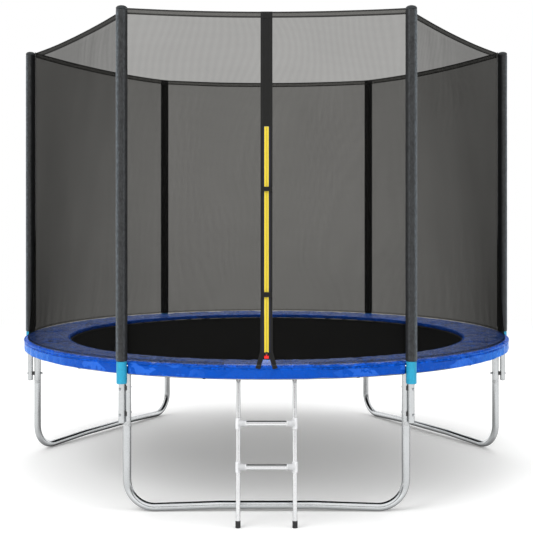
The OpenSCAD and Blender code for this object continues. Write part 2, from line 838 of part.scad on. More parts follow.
module ladder_feet() { color(black) for (side = [-1, 1]) ladder_foot(side); }

rail_front();
rail_front_right();
rail_back_right();
rail_back();
rail_back_left();
rail_front_left();
leg_base_front();
leg_base_right();
leg_base_left();
leg_upright_front_left();
leg_upright_front_right();
leg_upright_side_right();
leg_upright_back_right();
leg_upright_back_left();
leg_upright_side_left();
pole_lower_front_left();
pole_lower_front_right();
pole_lower_side_right();
pole_lower_back_right();
pole_lower_back_left();
pole_lower_side_left();
pole_uppers();
foam_sleeve_front_left();
foam_sleeve_front_right();
foam_sleeve_side_right();
foam_sleeve_back_right();
foam_sleeve_back_left();
foam_sleeve_side_left();
pole_cuffs();
pole_caps();
pole_end_plugs();
pole_bolts();
pole_bolt_nuts();
pole_spacers();
springs();
spring_rings();
mat();
mat_webbing();
pad();
pad_straps();
net_walls();
net_door_left();
net_door_right();
net_top_band();
net_ties();
net_hem();
zip_bands();
zip_tape();
zip_coil();
zip_slider();
zip_tag();
door_straps();
ladder_rail_left();
ladder_rail_right();
ladder_rungs();
ladder_joints();
ladder_hooks();
ladder_feet();
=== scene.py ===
import bpy
import math
import numpy as np
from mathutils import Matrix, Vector


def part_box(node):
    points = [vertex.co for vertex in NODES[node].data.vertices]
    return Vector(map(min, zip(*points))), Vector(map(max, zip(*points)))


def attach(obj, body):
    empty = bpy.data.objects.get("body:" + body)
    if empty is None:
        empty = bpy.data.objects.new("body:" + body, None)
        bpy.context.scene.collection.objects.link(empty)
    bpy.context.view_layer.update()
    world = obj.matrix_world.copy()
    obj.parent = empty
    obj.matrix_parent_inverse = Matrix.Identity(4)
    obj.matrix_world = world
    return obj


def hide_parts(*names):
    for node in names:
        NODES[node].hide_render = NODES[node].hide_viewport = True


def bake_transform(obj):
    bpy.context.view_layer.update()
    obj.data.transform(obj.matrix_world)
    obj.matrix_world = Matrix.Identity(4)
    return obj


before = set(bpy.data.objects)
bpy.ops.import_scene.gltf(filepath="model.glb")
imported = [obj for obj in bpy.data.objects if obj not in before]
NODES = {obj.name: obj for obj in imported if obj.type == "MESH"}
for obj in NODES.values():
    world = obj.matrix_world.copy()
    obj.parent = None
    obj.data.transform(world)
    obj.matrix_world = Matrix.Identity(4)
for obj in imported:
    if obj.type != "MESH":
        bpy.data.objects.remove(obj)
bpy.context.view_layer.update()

TAU = 2 * math.pi

# ------------------------------------------------------------------ places
# Every place comes from the boxes of the CAD nodes.
SIDES = ["front_left", "front_right", "side_right", "back_right", "back_left", "side_left"]


def lo_hi(node):
    a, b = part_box(node)
    return np.array(a), np.array(b)


POLE_XY = []
for s in SIDES:
    a, b = lo_hi("foam_sleeve_" + s)
    POLE_XY.append((a[:2] + b[:2]) / 2)
UP = []
for p in POLE_XY:
    t = math.atan2(p[1], p[0])
    while UP and t < UP[-1]:
        t += TAU
    if not UP and t < 0:
        t += TAU
    UP.append(t)
UP.append(UP[0] + TAU)
POLE_R = float(np.mean([np.hypot(*p) for p in POLE_XY]))
_a, _b = lo_hi("foam_sleeve_front_left")
FOAM_R = float(_b[0] - _a[0]) / 2
FOAM_LOW, FOAM_TOP = float(_a[2]), float(_b[2])
_a, _b = lo_hi("pole_lower_front_left")
TUBE_R = float(_b[0] - _a[0]) / 2          # enclosure pole
_a, _b = lo_hi("pole_cuffs")
CUFF_LOW, CUFF_TOP = float(_a[2]), float(_b[2])
CUFF_R = float(_b[0]) - POLE_R * math.cos(UP[2])
_a, _b = lo_hi("pad")
PAD_R, PAD_TOP, SKIRT_LOW = float(_b[0]), float(_b[2]), float(_a[2])
_a, _b = lo_hi("rail_front")
RING_Z = float(_b[2]) - 0.021
RING_R = -float(_a[1]) - 0.021
_a, _b = lo_hi("mat")
MAT_R, MAT_LOW, MAT_TOP = float(_b[0]), float(_a[2]), float(_b[2])
MAT_Z = (MAT_LOW + MAT_TOP) / 2
_a, _b = lo_hi("net_hem")
NET_LOW = float(_a[2])
_a, _b = lo_hi("net_top_band")
NET_TOP = float(_b[2])
NET_R = POLE_R - FOAM_R - 0.0045
BAND_H = 0.032
SAG = 0.020
PAD_IN = 1.258
PAD_UNDER = RING_Z + 0.021 + 0.006
LEG_HALF = (UP[1] - UP[0]) / 2
SPRINGS = 60


# ------------------------------------------------------------------- noise
def vnoise(p, seed=0):
    """Smooth value noise from 0 to 1 at points p (n, 3)."""
    i = np.floor(p).astype(np.int64)
    f = p - i
    f = f * f * f * (f * (f * 6 - 15) + 10)

    def h(x, y, z):
        n = (x * 73856093) ^ (y * 19349663) ^ (z * 83492791) ^ (seed * 2654435761)
        n = (n ^ (n >> 13)) * 1274126177
        n = n ^ (n >> 16)
        return (n & 0xFFFF) / 65535.0

    r = 0
    for dx in (0, 1):
        wx = f[:, 0] if dx else 1 - f[:, 0]
        for dy in (0, 1):
            wy = f[:, 1] if dy else 1 - f[:, 1]
            for dz in (0, 1):
                wz = f[:, 2] if dz else 1 - f[:, 2]
                r = r + wx * wy * wz * h(i[:, 0] + dx, i[:, 1] + dy, i[:, 2] + dz)
    return r


def fbm(p, scale, octaves=3, seed=0):
    r, a, t = 0, 1.0, 0.0
    for k in range(octaves):
        r = r + a * vnoise(p * scale * 2 ** k + 17.3 * k, seed + k)
        t += a
        a *= 0.5
    return r / t


def ridge(p, scale, seed=0, octaves=2):
    """Creases: 1 along lines, 0 away from them."""
    r, a, t = 0, 1.0, 0.0
    for k in range(octaves):
        r = r + a * (1 - np.abs(2 * vnoise(p * scale * 2 ** k + 5.1 * k, seed + k) - 1))
        t += a
        a *= 0.5
    return r / t


def sstep(x, a, b):
    t = np.clip((x - a) / (b - a), 0, 1)
    return t * t * (3 - 2 * t)


# ------------------------------------------------------------ mesh builders
def grid_faces(nu, nv, wu=False, wv=False, off=0, flip=False):
    iu = np.arange(nu if wu else nu - 1)
    iv = np.arange(nv if wv else nv - 1)
    U, V = np.meshgrid(iu, iv, indexing="ij")
    U2, V2 = (U + 1) % nu, (V + 1) % nv
    q = [U * nv + V, U2 * nv + V, U2 * nv + V2, U * nv + V2]
    if flip:
        q = q[::-1]
    return (np.stack(q, -1).reshape(-1, 4) + off).tolist()


class Build:
    """Collects vertices, faces and per-vertex values for one piece."""

    def __init__(self):
        self.v, self.f, self.a, self.mi, self.n = [], [], {}, [], 0

    def add(self, verts, faces, mat=0, **attrs):
        verts = np.asarray(verts, float).reshape(-1, 3)
        off = self.n
        self.v.append(verts)
        self.f += [[k + off for k in f] for f in faces]
        self.mi += [mat] * len(faces)
        for k in set(self.a) | set(attrs):
            arr = attrs.get(k)
            if arr is None:
                arr = np.zeros(len(verts))
            if k not in self.a:
                self.a[k] = [np.zeros(off)] if off else []
            self.a[k].append(np.broadcast_to(np.asarray(arr, float).ravel(), (len(verts),))
                             if np.size(arr) in (1, len(verts)) else np.zeros(len(verts)))
        self.n += len(verts)
        return off

    def obj(self, name, mats, smooth=True):
        me = bpy.data.meshes.new(name)
        me.from_pydata(np.concatenate(self.v).tolist(), [], self.f)
        for m in mats:
            me.materials.append(m)
        me.polygons.foreach_set("material_index", self.mi)
        me.polygons.foreach_set("use_smooth", [smooth] * len(me.polygons))
        for k, parts in self.a.items():
            at = me.attributes.new(k, "FLOAT", "POINT")
            at.data.foreach_set("value", np.concatenate(parts).astype(np.float32))
        me.validate()
        me.update()
        o = bpy.data.objects.new(name, me)
        bpy.context.scene.collection.objects.link(o)
        return o


def outward(o):
    """Turns every face outwards."""
    import bmesh
    bm = bmesh.new()
    bm.from_mesh(o.data)
    bmesh.ops.recalc_face_normals(bm, faces=bm.faces)
    bm.to_mesh(o.data)
    bm.free()


def sharp(o, deg=35):
    """Keeps edges sharper than deg crisp and the rest smooth."""
    o.data.set_sharp_from_angle(angle=math.radians(deg))


def own(o, body, slot, *nodes):
    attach(o, body)
    if nodes:
        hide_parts(*nodes)
    return o


def path_tube(b, pts, r, sides=8, closed=False, mat=0, cap=True, **attrs):
    """Round bar along a path of points."""
    pts = np.asarray(pts, float)
    n = len(pts)
    if closed:
        t = np.roll(pts, -1, 0) - np.roll(pts, 1, 0)
    else:
        t = np.gradient(pts, axis=0)
    t /= np.linalg.norm(t, axis=1)[:, None]
    ref = np.array([0, 0, 1.0]) if abs(t[0][2]) < 0.9 else np.array([1.0, 0, 0])
    u = np.cross(t[0], ref)
    u /= np.linalg.norm(u)
    frames = []
    for k in range(n):
        u = u - t[k] * (u @ t[k])
        u /= np.linalg.norm(u)
        frames.append((u, np.cross(t[k], u)))
    a = np.arange(sides) * TAU / sides
    rr = np.broadcast_to(np.asarray(r, float), (n,))
    v = np.concatenate([pts[k] + rr[k] * (np.cos(a)[:, None] * frames[k][0] + np.sin(a)[:, None] * frames[k][1])
                        for k in range(n)])
    f = grid_faces(n, sides, wu=closed, wv=True)
    if cap and not closed:
        f.append(list(range(sides))[::-1])
        f.append(list(range((n - 1) * sides, n * sides)))
    b.add(v, f, mat, **attrs)


def strip(b, P, N, t, mat=0, u=None, v=None, flip=False):
    """Closed flat sheet: P (nu, nv, 3) is its outer face, N its outward normals, t its thickness."""
    nu, nv = P.shape[:2]
    Q = P - N * t
    U = np.zeros((nu, nv)) if u is None else u
    V = np.zeros((nu, nv)) if v is None else v
    verts = np.concatenate([P.reshape(-1, 3), Q.reshape(-1, 3)])
    n = nu * nv
    f = grid_faces(nu, nv) + grid_faces(nu, nv, off=n, flip=True)
    ring = [(i, 0) for i in range(nu)] + [(nu - 1, j) for j in range(1, nv)] + \
        [(i, nv - 1) for i in range(nu - 2, -1, -1)] + [(0, j) for j in range(nv - 2, 0, -1)]
    ids = [i * nv + j for i, j in ring]
    for k in range(len(ids)):
        a_, b_ = ids[k], ids[(k + 1) % len(ids)]
        f.append([b_, a_, a_ + n, b_ + n])
    b.add(verts, f, mat, u=np.concatenate([U.ravel()] * 2), v=np.concatenate([V.ravel()] * 2))


# --------------------------------------------------------------- materials
class Mat:
    def __init__(self, name, view=(0.5, 0.5, 0.5)):
        self.m = bpy.data.materials.new(name)
        self.m.use_nodes = True
        self.m.diffuse_color = (*view, 1)
        self.t = self.m.node_tree
        self.t.nodes.clear()
        self.out = self.t.nodes.new("ShaderNodeOutputMaterial")
        self.b = self.node("BsdfPrincipled")
        self.t.links.new(self.b.outputs[0], self.out.inputs[0])
        tc = self.node("TexCoord")
        self.co = tc.outputs["Object"]

    def node(self, kind, **kw):
        n = self.t.nodes.new("ShaderNode" + kind)
        for k, v in kw.items():
            setattr(n, k, v)
        return n

    def put(self, sock, v):
        if isinstance(v, bpy.types.NodeSocket):
            self.t.links.new(v, sock)
        elif isinstance(v, (tuple, list)) and len(v) == 3 and sock.type == "RGBA":
            sock.default_value = (*v, 1)
        else:
            sock.default_value = v

    def set(self, **kw):
        for k, v in kw.items():
            self.put(self.b.inputs[k.replace("_", " ")], v)

    def math(self, op, a, b=None, clamp=False):
        n = self.node("Math", operation=op, use_clamp=clamp)
        self.put(n.inputs[0], a)
        if b is not None:
            self.put(n.inputs[1], b)
        return n.outputs[0]

    def rng(self, v, a, b, c=0.0, d=1.0, smooth=True):
        n = self.node("MapRange", interpolation_type="SMOOTHSTEP" if smooth else "LINEAR")
        for k, x in zip(("Value", "From Min", "From Max", "To Min", "To Max"), (v, a, b, c, d)):
            self.put(n.inputs[k], x)
        return n.outputs[0]

    def mix(self, fac, a, b, blend="MIX"):
        n = self.node("Mix", data_type="RGBA", blend_type=blend)
        self.put(n.inputs[0], fac)
        self.put(n.inputs[6], a)
        self.put(n.inputs[7], b)
        return n.outputs[2]

    def stretch(self, s, co=None):
        n = self.node("VectorMath", operation="MULTIPLY")
        self.put(n.inputs[0], co or self.co)
        n.inputs[1].default_value = s
        return n.outputs[0]

    def noise(self, scale, detail=2.0, rough=0.5, co=None, dist=0.0):
        n = self.node("TexNoise")
        self.put(n.inputs["Vector"], co or self.co)
        n.inputs["Scale"].default_value = scale
        n.inputs["Detail"].default_value = detail
        n.inputs["Roughness"].default_value = rough
        n.inputs["Distortion"].default_value = dist
        return n.outputs[0]

    def cells(self, scale, co=None, feature="F1", out="Distance"):
        n = self.node("TexVoronoi", feature=feature)
        self.put(n.inputs["Vector"], co or self.co)
        n.inputs["Scale"].default_value = scale
        return n.outputs[out]

    def attr(self, name):
        n = self.node("Attribute", attribute_name=name, attribute_type="GEOMETRY")
        return n.outputs["Fac"]

    def wave(self, v, period, phase=0.0):
        """0..1 sine of a length."""
        s = self.math("MULTIPLY", v, TAU / period)
        s = self.math("SINE", self.math("ADD", s, phase))
        return self.math("MULTIPLY", self.math("ADD", s, 1.0), 0.5)

    def xyz(self, co=None):
        n = self.node("SeparateXYZ")
        self.put(n.inputs[0], co or self.co)
        return n.outputs

    def band(self, v, at, half, soft=0.0006):
        """1 where v is within half of at."""
        d = self.math("ABSOLUTE", self.math("SUBTRACT", v, at))
        return self.rng(d, half, half + soft, 1.0, 0.0)

    def stitches(self, along, across, at, half=0.0007, pitch=0.006):
        """Dashes of thread along a line."""
        line = self.band(across, at, half)
        dash = self.rng(self.wave(along, pitch), 0.25, 0.45)
        return self.math("MULTIPLY", line, dash)

    def bump(self, h, dist=0.001, strength=1.0, normal=None):
        n = self.node("Bump")
        n.inputs["Strength"].default_value = strength
        n.inputs["Distance"].default_value = dist
        self.put(n.inputs["Height"], h)
        if normal is not None:
            self.put(n.inputs["Normal"], normal)
        return n.outputs[0]

    def facing(self, power=1.0):
        n = self.node("LayerWeight")
        n.inputs["Blend"].default_value = 0.5
        f = n.outputs["Facing"]
        return self.math("POWER", f, power) if power != 1 else f


def lin(r, g, b):
    def c(x):
        x /= 255
        return x / 12.92 if x <= 0.04045 else ((x + 0.055) / 1.055) ** 2.4
    return (c(r), c(g), c(b))


def sca(c, k):
    return tuple(x * k for x in c)


def steel_mat(name, base, rough, spangle=0.05, metallic=1.0, collar_and_painted_shade=False, shade=0.0):
    """Galvanised tube: zinc spangle, faint draw lines, rubbed patches; options paint shade low on the base tube and a
    dark reflection line along rung tops.
    """
    m = Mat(name, base)
    cloud = m.noise(7, 3, 0.6)
    cell = m.cells(95, out="Color")
    sep = m.node("SeparateColor")
    m.put(sep.inputs[0], cell)
    sp = sep.outputs[0]
    lines = m.noise(1.0, 2, 0.5, co=m.stretch((900, 900, 14)))
    wear = m.rng(m.noise(26, 4, 0.65), 0.56, 0.70)
    z = m.xyz()[2]
    if collar_and_painted_shade:
        # painted highlight and shade: the lowest run of the base tube is painted bright above and dim below, standing
        # in for the floor it reflects
        nz = m.node("SeparateXYZ")
        m.put(nz.inputs[0], m.node("NewGeometry").outputs["Normal"])
        low = m.rng(z, 0.075, 0.13, 1.0, 0.0)
        k = m.math("ADD", 1.0, m.math("MULTIPLY", low, m.rng(nz.outputs[2], -0.95, 0.25, -0.68, 0.55)))
        vm = m.node("VectorMath", operation="SCALE")
        vm.inputs[0].default_value = base
        m.put(vm.inputs["Scale"], k)
        c = vm.outputs[0]
    else:
        c = base
    if shade:
        # painted dark reflection: a darker line along the top of a rung
        up = m.node("SeparateXYZ")
        m.put(up.inputs[0], m.node("NewGeometry").outputs["Normal"])
        c = m.mix(m.rng(up.outputs[2], 0.50, 0.72, 0.0, shade), c, sca(base, 0.10))
    c = m.mix(m.math("MULTIPLY", sp, spangle * 1.6), c, sca(base, 0.72))
    c = m.mix(m.rng(cloud, 0.35, 0.7, 0, 0.22 if not shade else 0.0), c, sca(base, 0.90))
    c = m.mix(m.math("MULTIPLY", wear, 0.18), c, tuple(min(1, x * 1.14) for x in base))
    if collar_and_painted_shade:
        near = m.band(z, 0.456, 0.006, 0.010)
        spk = m.rng(m.noise(420, 2, 0.7), 0.50, 0.62)
        c = m.mix(m.math("MULTIPLY", near, m.math("MULTIPLY", spk, 0.6)), c, (0.90, 0.90, 0.90))
        near_r = m.math("MULTIPLY", near, 0.22)
    r = m.math("ADD", m.rng(cloud, 0.3, 0.75, rough, rough + 0.07), m.math("MULTIPLY", sp, 0.04))
    if collar_and_painted_shade:
        r = m.math("ADD", r, near_r)
    h = m.math("ADD", m.math("MULTIPLY", lines, 0.35), m.math("MULTIPLY", m.noise(300, 2, 0.6), 0.65))
    m.set(Base_Color=c, Metallic=metallic, Roughness=r, Normal=m.bump(h, 0.000012, 0.12))
    return m.m


def plastic_mat(name, base, rough=0.4, grain=900, depth=0.00012, spec=0.5):
    """Moulded plastic: fine grain, faint mottling, paler on rubbed edges."""
    m = Mat(name, base)
    n1 = m.noise(28, 3, 0.6)
    c = m.mix(m.rng(n1, 0.3, 0.7, 0, 0.45), base, sca(base, 0.72))
    p = m.node("NewGeometry").outputs["Pointiness"]
    c = m.mix(m.rng(p, 0.54, 0.64, 0, 0.5), c, tuple(min(1, x * 1.6 + 0.03) for x in base))
    m.set(Base_Color=c, Roughness=m.rng(n1, 0.3, 0.7, rough, rough + 0.14), Specular_IOR_Level=spec,
          Normal=m.bump(m.noise(grain, 3, 0.6), depth, 0.7))
    return m.m


def foam_mat(name, base, edge, rim=0.85, grain=118, inner=0.9, speck=0.85):
    """Film-covered foam: pebbled grain, a painted pale sheen towards its outward edges, painted shade on its side
    towards the net.
    """
    m = Mat(name, base)
    pebble = m.cells(grain, co=m.stretch((1.0, 1.0, 0.62)))
    fine = m.noise(grain * 3.2, 3, 0.65)
    blot = m.noise(34, 4, 0.62)
    c = m.mix(m.rng(pebble, 0.15, 0.70, 0, speck), base, sca(base, 0.40))
    c = m.mix(m.rng(blot, 0.38, 0.66, 0, 0.6 * speck), c, sca(base, 1.45))
    c = m.mix(m.math("MULTIPLY", m.rng(fine, 0.5, 0.68), 0.35), c, sca(base, 1.9))
    # painted shade: the side towards the net is darkened; the painted sheen is on the open side
    nrm = m.node("NewGeometry").outputs["Normal"]
    flat = m.node("VectorMath", operation="MULTIPLY")
    m.put(flat.inputs[0], m.co)
    flat.inputs[1].default_value = (1.0, 1.0, 0.0)
    rad = m.node("VectorMath", operation="NORMALIZE")
    m.put(rad.inputs[0], flat.outputs[0])
    d = m.node("VectorMath", operation="DOT_PRODUCT")
    m.put(d.inputs[0], nrm)
    m.put(d.inputs[1], rad.outputs[0])
    side = d.outputs["Value"]
    sep = m.node("SeparateXYZ")
    m.put(sep.inputs[0], nrm)
    out = m.math("MULTIPLY", sep.outputs[0], m.math("SIGN", m.xyz()[0]))
    open_ = m.math("MULTIPLY", m.rng(side, -0.50, 0.10, 1.0 - inner, 1.0), m.rng(out, -0.82, -0.60, 0.35, 1.0))
    f = m.math("MULTIPLY", m.rng(out, 0.28, 0.62, 0, rim), m.rng(side, 0.10, 0.42))
    f = m.math("MAXIMUM", f, m.math("MULTIPLY", m.band(out, -0.50, 0.07, 0.08),
                                    m.math("MULTIPLY", m.rng(side, 0.25, 0.55), rim * 0.28)))
    # painted sheen: the edge colour is laid on the outward edges
    c = m.mix(m.math("MULTIPLY", f, m.rng(pebble, 0.10, 0.62, 1.25, 0.35)), c, edge)
    # painted shade: darker towards the net and towards the middle
    c = m.mix(m.rng(side, -0.05, -0.55, 0, inner), c, sca(base, 0.18))
    c = m.mix(m.rng(out, -0.60, -0.82, 0, inner * 0.5), c, sca(base, 0.30))
    h = m.math("ADD", m.math("MULTIPLY", pebble, -0.8), m.math("MULTIPLY", fine, 0.5))
    m.set(Base_Color=c, Roughness=m.rng(blot, 0.3, 0.7, 0.48, 0.66), Specular_IOR_Level=m.math("MULTIPLY", open_, 0.28),
          Normal=m.bump(h, 0.0010, 0.75))
    m.put(m.b.inputs["Sheen Weight"], m.math("MULTIPLY", open_, 0.22))
    m.put(m.b.inputs["Sheen Roughness"], 0.4)
    m.put(m.b.inputs["Sheen Tint"], (0.75, 0.85, 0.95))
    return m.m


def web_mat(name, base, rib=0.0022, edge_at=None, edge=None, stitch=None, rough=0.75, thread=None, low=0.62):
    """Woven tape: ribs across, twill along, a stitched line at each place named."""
    m = Mat(name, base)
    u, v = m.attr("u"), m.attr("v")
    ribs = m.wave(u, rib)
    warp = m.wave(m.math("ADD", v, m.math("MULTIPLY", u, 0.5)), rib * 0.9)
    weave = m.math("MULTIPLY", ribs, warp)
    dirt = m.noise(22, 4, 0.6)
    c = m.mix(m.math("MULTIPLY", weave, 0.55), sca(base, low), sca(base, 1.18))
    c = m.mix(m.rng(dirt, 0.4, 0.7, 0, 0.35), c, sca(base, 1.35 if low < 0.8 else 0.92))
    h = weave
    if edge_at is not None:
        m_e = m.rng(m.math("ABSOLUTE", v), edge_at[0], edge_at[1])
        c = m.mix(m_e, c, edge)
    for s in (stitch or []):
        d = m.stitches(u, m.math("ABSOLUTE", v), s, 0.0006, 0.0058)
        c = m.mix(m.math("MULTIPLY", d, 0.8), c, thread or sca(base, 2.4))
        h = m.math("ADD", h, m.math("MULTIPLY", d, 1.6))
    m.set(Base_Color=c, Roughness=m.rng(dirt, 0.3, 0.7, rough - 0.08, rough + 0.1), Specular_IOR_Level=0.25,
          Normal=m.bump(h, 0.0004, 0.8))
    m.put(m.b.inputs["Sheen Weight"], 0.12)
    return m.m


def vinyl_mat(name, base, skirt=False):
    """Coated fabric: scrim showing through, creases, rubbed wear, pale patches of painted reflection."""
    m = Mat(name, base)
    u, v = m.attr("u"), m.attr("v")
    scrim = m.math("MULTIPLY", m.wave(u, 0.0024), m.wave(v, 0.0024))
    blot = m.noise(16, 3, 0.55, dist=0.6)
    cell = m.node("TexVoronoi", feature="F1")
    m.put(cell.inputs["Vector"], m.stretch((1.0, 1.0, 2.2)))
    cell.inputs["Scale"].default_value = 9.0
    sep = m.node("SeparateColor")
    m.put(sep.inputs[0], cell.outputs["Color"])
    px = m.xyz()[0]
    # painted reflections: pale patches standing in for bright reflections in the glossy vinyl
    painted_reflection_patch = m.math("MULTIPLY", m.rng(sep.outputs[0], 0.62, 0.66), m.rng(blot, 0.44, 0.47))
    if skirt:
        # the skirt's painted reflections gather towards its left and right
        painted_reflection_patch = m.math("MULTIPLY", painted_reflection_patch, m.rng(m.math("ABSOLUTE", px), 0.25, 0.55, 0.15, 1.0))
    fine = m.noise(120, 4, 0.6)
    c = m.mix(m.rng(blot, 0.35, 0.68, 0, 0.50), base, sca(base, 0.80))
    c = m.mix(m.math("MULTIPLY", painted_reflection_patch, 0.75 if skirt else 0.28), c,
              tuple(min(1, x * 1.25 + y) for x, y in zip(base, (0.022, 0.055, 0.110))))
    wear = m.rng(m.noise(60, 5, 0.7), 0.60, 0.72)
    c = m.mix(m.math("MULTIPLY", wear, 0.18), c, tuple(min(1, x * 1.2 + 0.05) for x in base))
    stain = m.rng(m.noise(3.0, 3, 0.6), 0.50, 0.75, 0, 0.25)
    c = m.mix(stain, c, sca(base, 0.72))
    h = m.math("MULTIPLY", scrim, 0.12)
    crease = m.math("ABSOLUTE", m.math("SUBTRACT", m.noise(24, 3, 0.55, dist=1.2), 0.5))
    crease = m.rng(crease, 0.0, 0.05, 1.0, 0.0)
    h = m.math("ADD", h, m.math("MULTIPLY", fine, 0.25))
    n1 = m.bump(h, 0.0006, 0.5)
    n2 = m.bump(m.math("SUBTRACT", m.noise(42 if skirt else 27, 3, 0.55, dist=0.4 if skirt else 0.8),
                       m.math("MULTIPLY", crease, 0.45)),
                0.034 if not skirt else 0.007, 0.9 if not skirt else 0.5, n1)
    if not skirt:
        # painted shade in sharp dents, most of them beside the welded seams, with a painted highlight along their lips
        qx, qy, qz = m.xyz()
        qr = m.math("SQRT", m.math("ADD", m.math("MULTIPLY", qx, qx), m.math("MULTIPLY", qy, qy)))
        qt = m.math("DIVIDE", m.math("SUBTRACT", m.math("ARCTAN2", qy, qx), math.radians(22.5)), math.radians(45))
        qd = m.math("ABSOLUTE", m.math("SUBTRACT", qt, m.math("ROUND", qt)))
        near = m.rng(m.math("MULTIPLY", m.math("MULTIPLY", qd, qr), math.radians(45)), 0.02, 0.12, 0.07, 0.0)
        dn = m.noise(26, 3, 0.6, co=m.stretch((0.55, 1.6, 1.0)), dist=0.9)
        painted_dent_shade = m.rng(dn, m.math("SUBTRACT", 0.630, near), m.math("SUBTRACT", 0.665, near))
        c = m.mix(m.math("MULTIPLY", painted_dent_shade, 0.80), c, sca(base, 0.10))
        painted_lip_highlight = m.math("MULTIPLY", m.rng(dn, m.math("SUBTRACT", 0.575, near), m.math("SUBTRACT", 0.605, near)),
                     m.math("SUBTRACT", 1.0, painted_dent_shade))
        c = m.mix(m.math("MULTIPLY", painted_lip_highlight, 0.35), c, (0.30, 0.46, 1.0))
    if skirt:
        s = m.stitches(u, v, 0.008, 0.0008, 0.0065)
        c = m.mix(m.math("MULTIPLY", s, 0.6), c, sca(base, 0.45))
    if skirt:
        spec = 0.08
        # painted highlight: the skirt is painted paler where it is seen at a slant
        c = m.mix(m.rng(m.facing(1.0), 0.30, 0.90, 0, 0.60), c, (0.040, 0.270, 0.900))
    else:
        # painted shade: the turned-down inner wall is matt and painted a deeper blue than the top
        wall = m.rng(v, 0.006, 0.016)
        px2, py2, pz2 = m.xyz()
        rad = m.math("SQRT", m.math("ADD", m.math("MULTIPLY", px2, px2), m.math("MULTIPLY", py2, py2)))
        # outside the netting the cover rolls over into the skirt, painted a deeper blue there as shade
        roll = m.rng(rad, NET_R - 0.016, NET_R - 0.004)
        c = m.mix(wall, (0.0030, 0.110, 0.720), c)
        c = m.mix(roll, c, (0.0030, 0.100, 0.640))
        # painted shade: its underside is painted near-black, so the tubes below reflect it as a dark line
        gn = m.node("SeparateXYZ")
        m.put(gn.inputs[0], m.node("NewGeometry").outputs["True Normal"])
        c = m.mix(m.rng(gn.outputs[2], -0.35, -0.60), c, (0.006, 0.008, 0.014))
        wall = m.math("MULTIPLY", wall, m.math("SUBTRACT", 1.0, m.math("MULTIPLY", roll, 0.95)))
        spec = m.math("MULTIPLY", wall, 0.5)
        m.put(m.b.inputs["Coat Weight"], m.math("MULTIPLY", wall, 0.3))
        m.put(m.b.inputs["Coat Roughness"], 0.12)
    m.set(Base_Color=c, Roughness=m.rng(blot, 0.3, 0.7, 0.20, 0.34), Specular_IOR_Level=spec, Normal=n2)
    return m.m


def mat_cloth():
    """Woven jumping mat: flat tape weave, dull, with dusty traffic marks."""
    base = (0.0052, 0.0052, 0.0054)
    m = Mat("black_woven_mat", base)
    x, y, z = m.xyz()
    wx = m.wave(x, 0.0026)
    wy = m.wave(y, 0.0026, 1.2)
    over = m.math("SUBTRACT", wx, wy)
    weave = m.math("ABSOLUTE", over)
    dust = m.noise(2.2, 4, 0.62)
    fuzz = m.noise(160, 3, 0.6)
    c = m.mix(m.math("MULTIPLY", weave, 0.6), sca(base, 0.72), sca(base, 1.25))
    c = m.mix(m.rng(dust, 0.45, 0.72, 0, 0.40), c, (0.014, 0.014, 0.014))
    c = m.mix(m.math("MULTIPLY", m.rng(fuzz, 0.55, 0.75), 0.20), c, (0.022, 0.022, 0.022))
    m.set(Base_Color=c, Roughness=m.rng(dust, 0.3, 0.7, 0.86, 0.95), Specular_IOR_Level=0.02,
          Normal=m.bump(weave, 0.0005, 0.6))
    return m.m


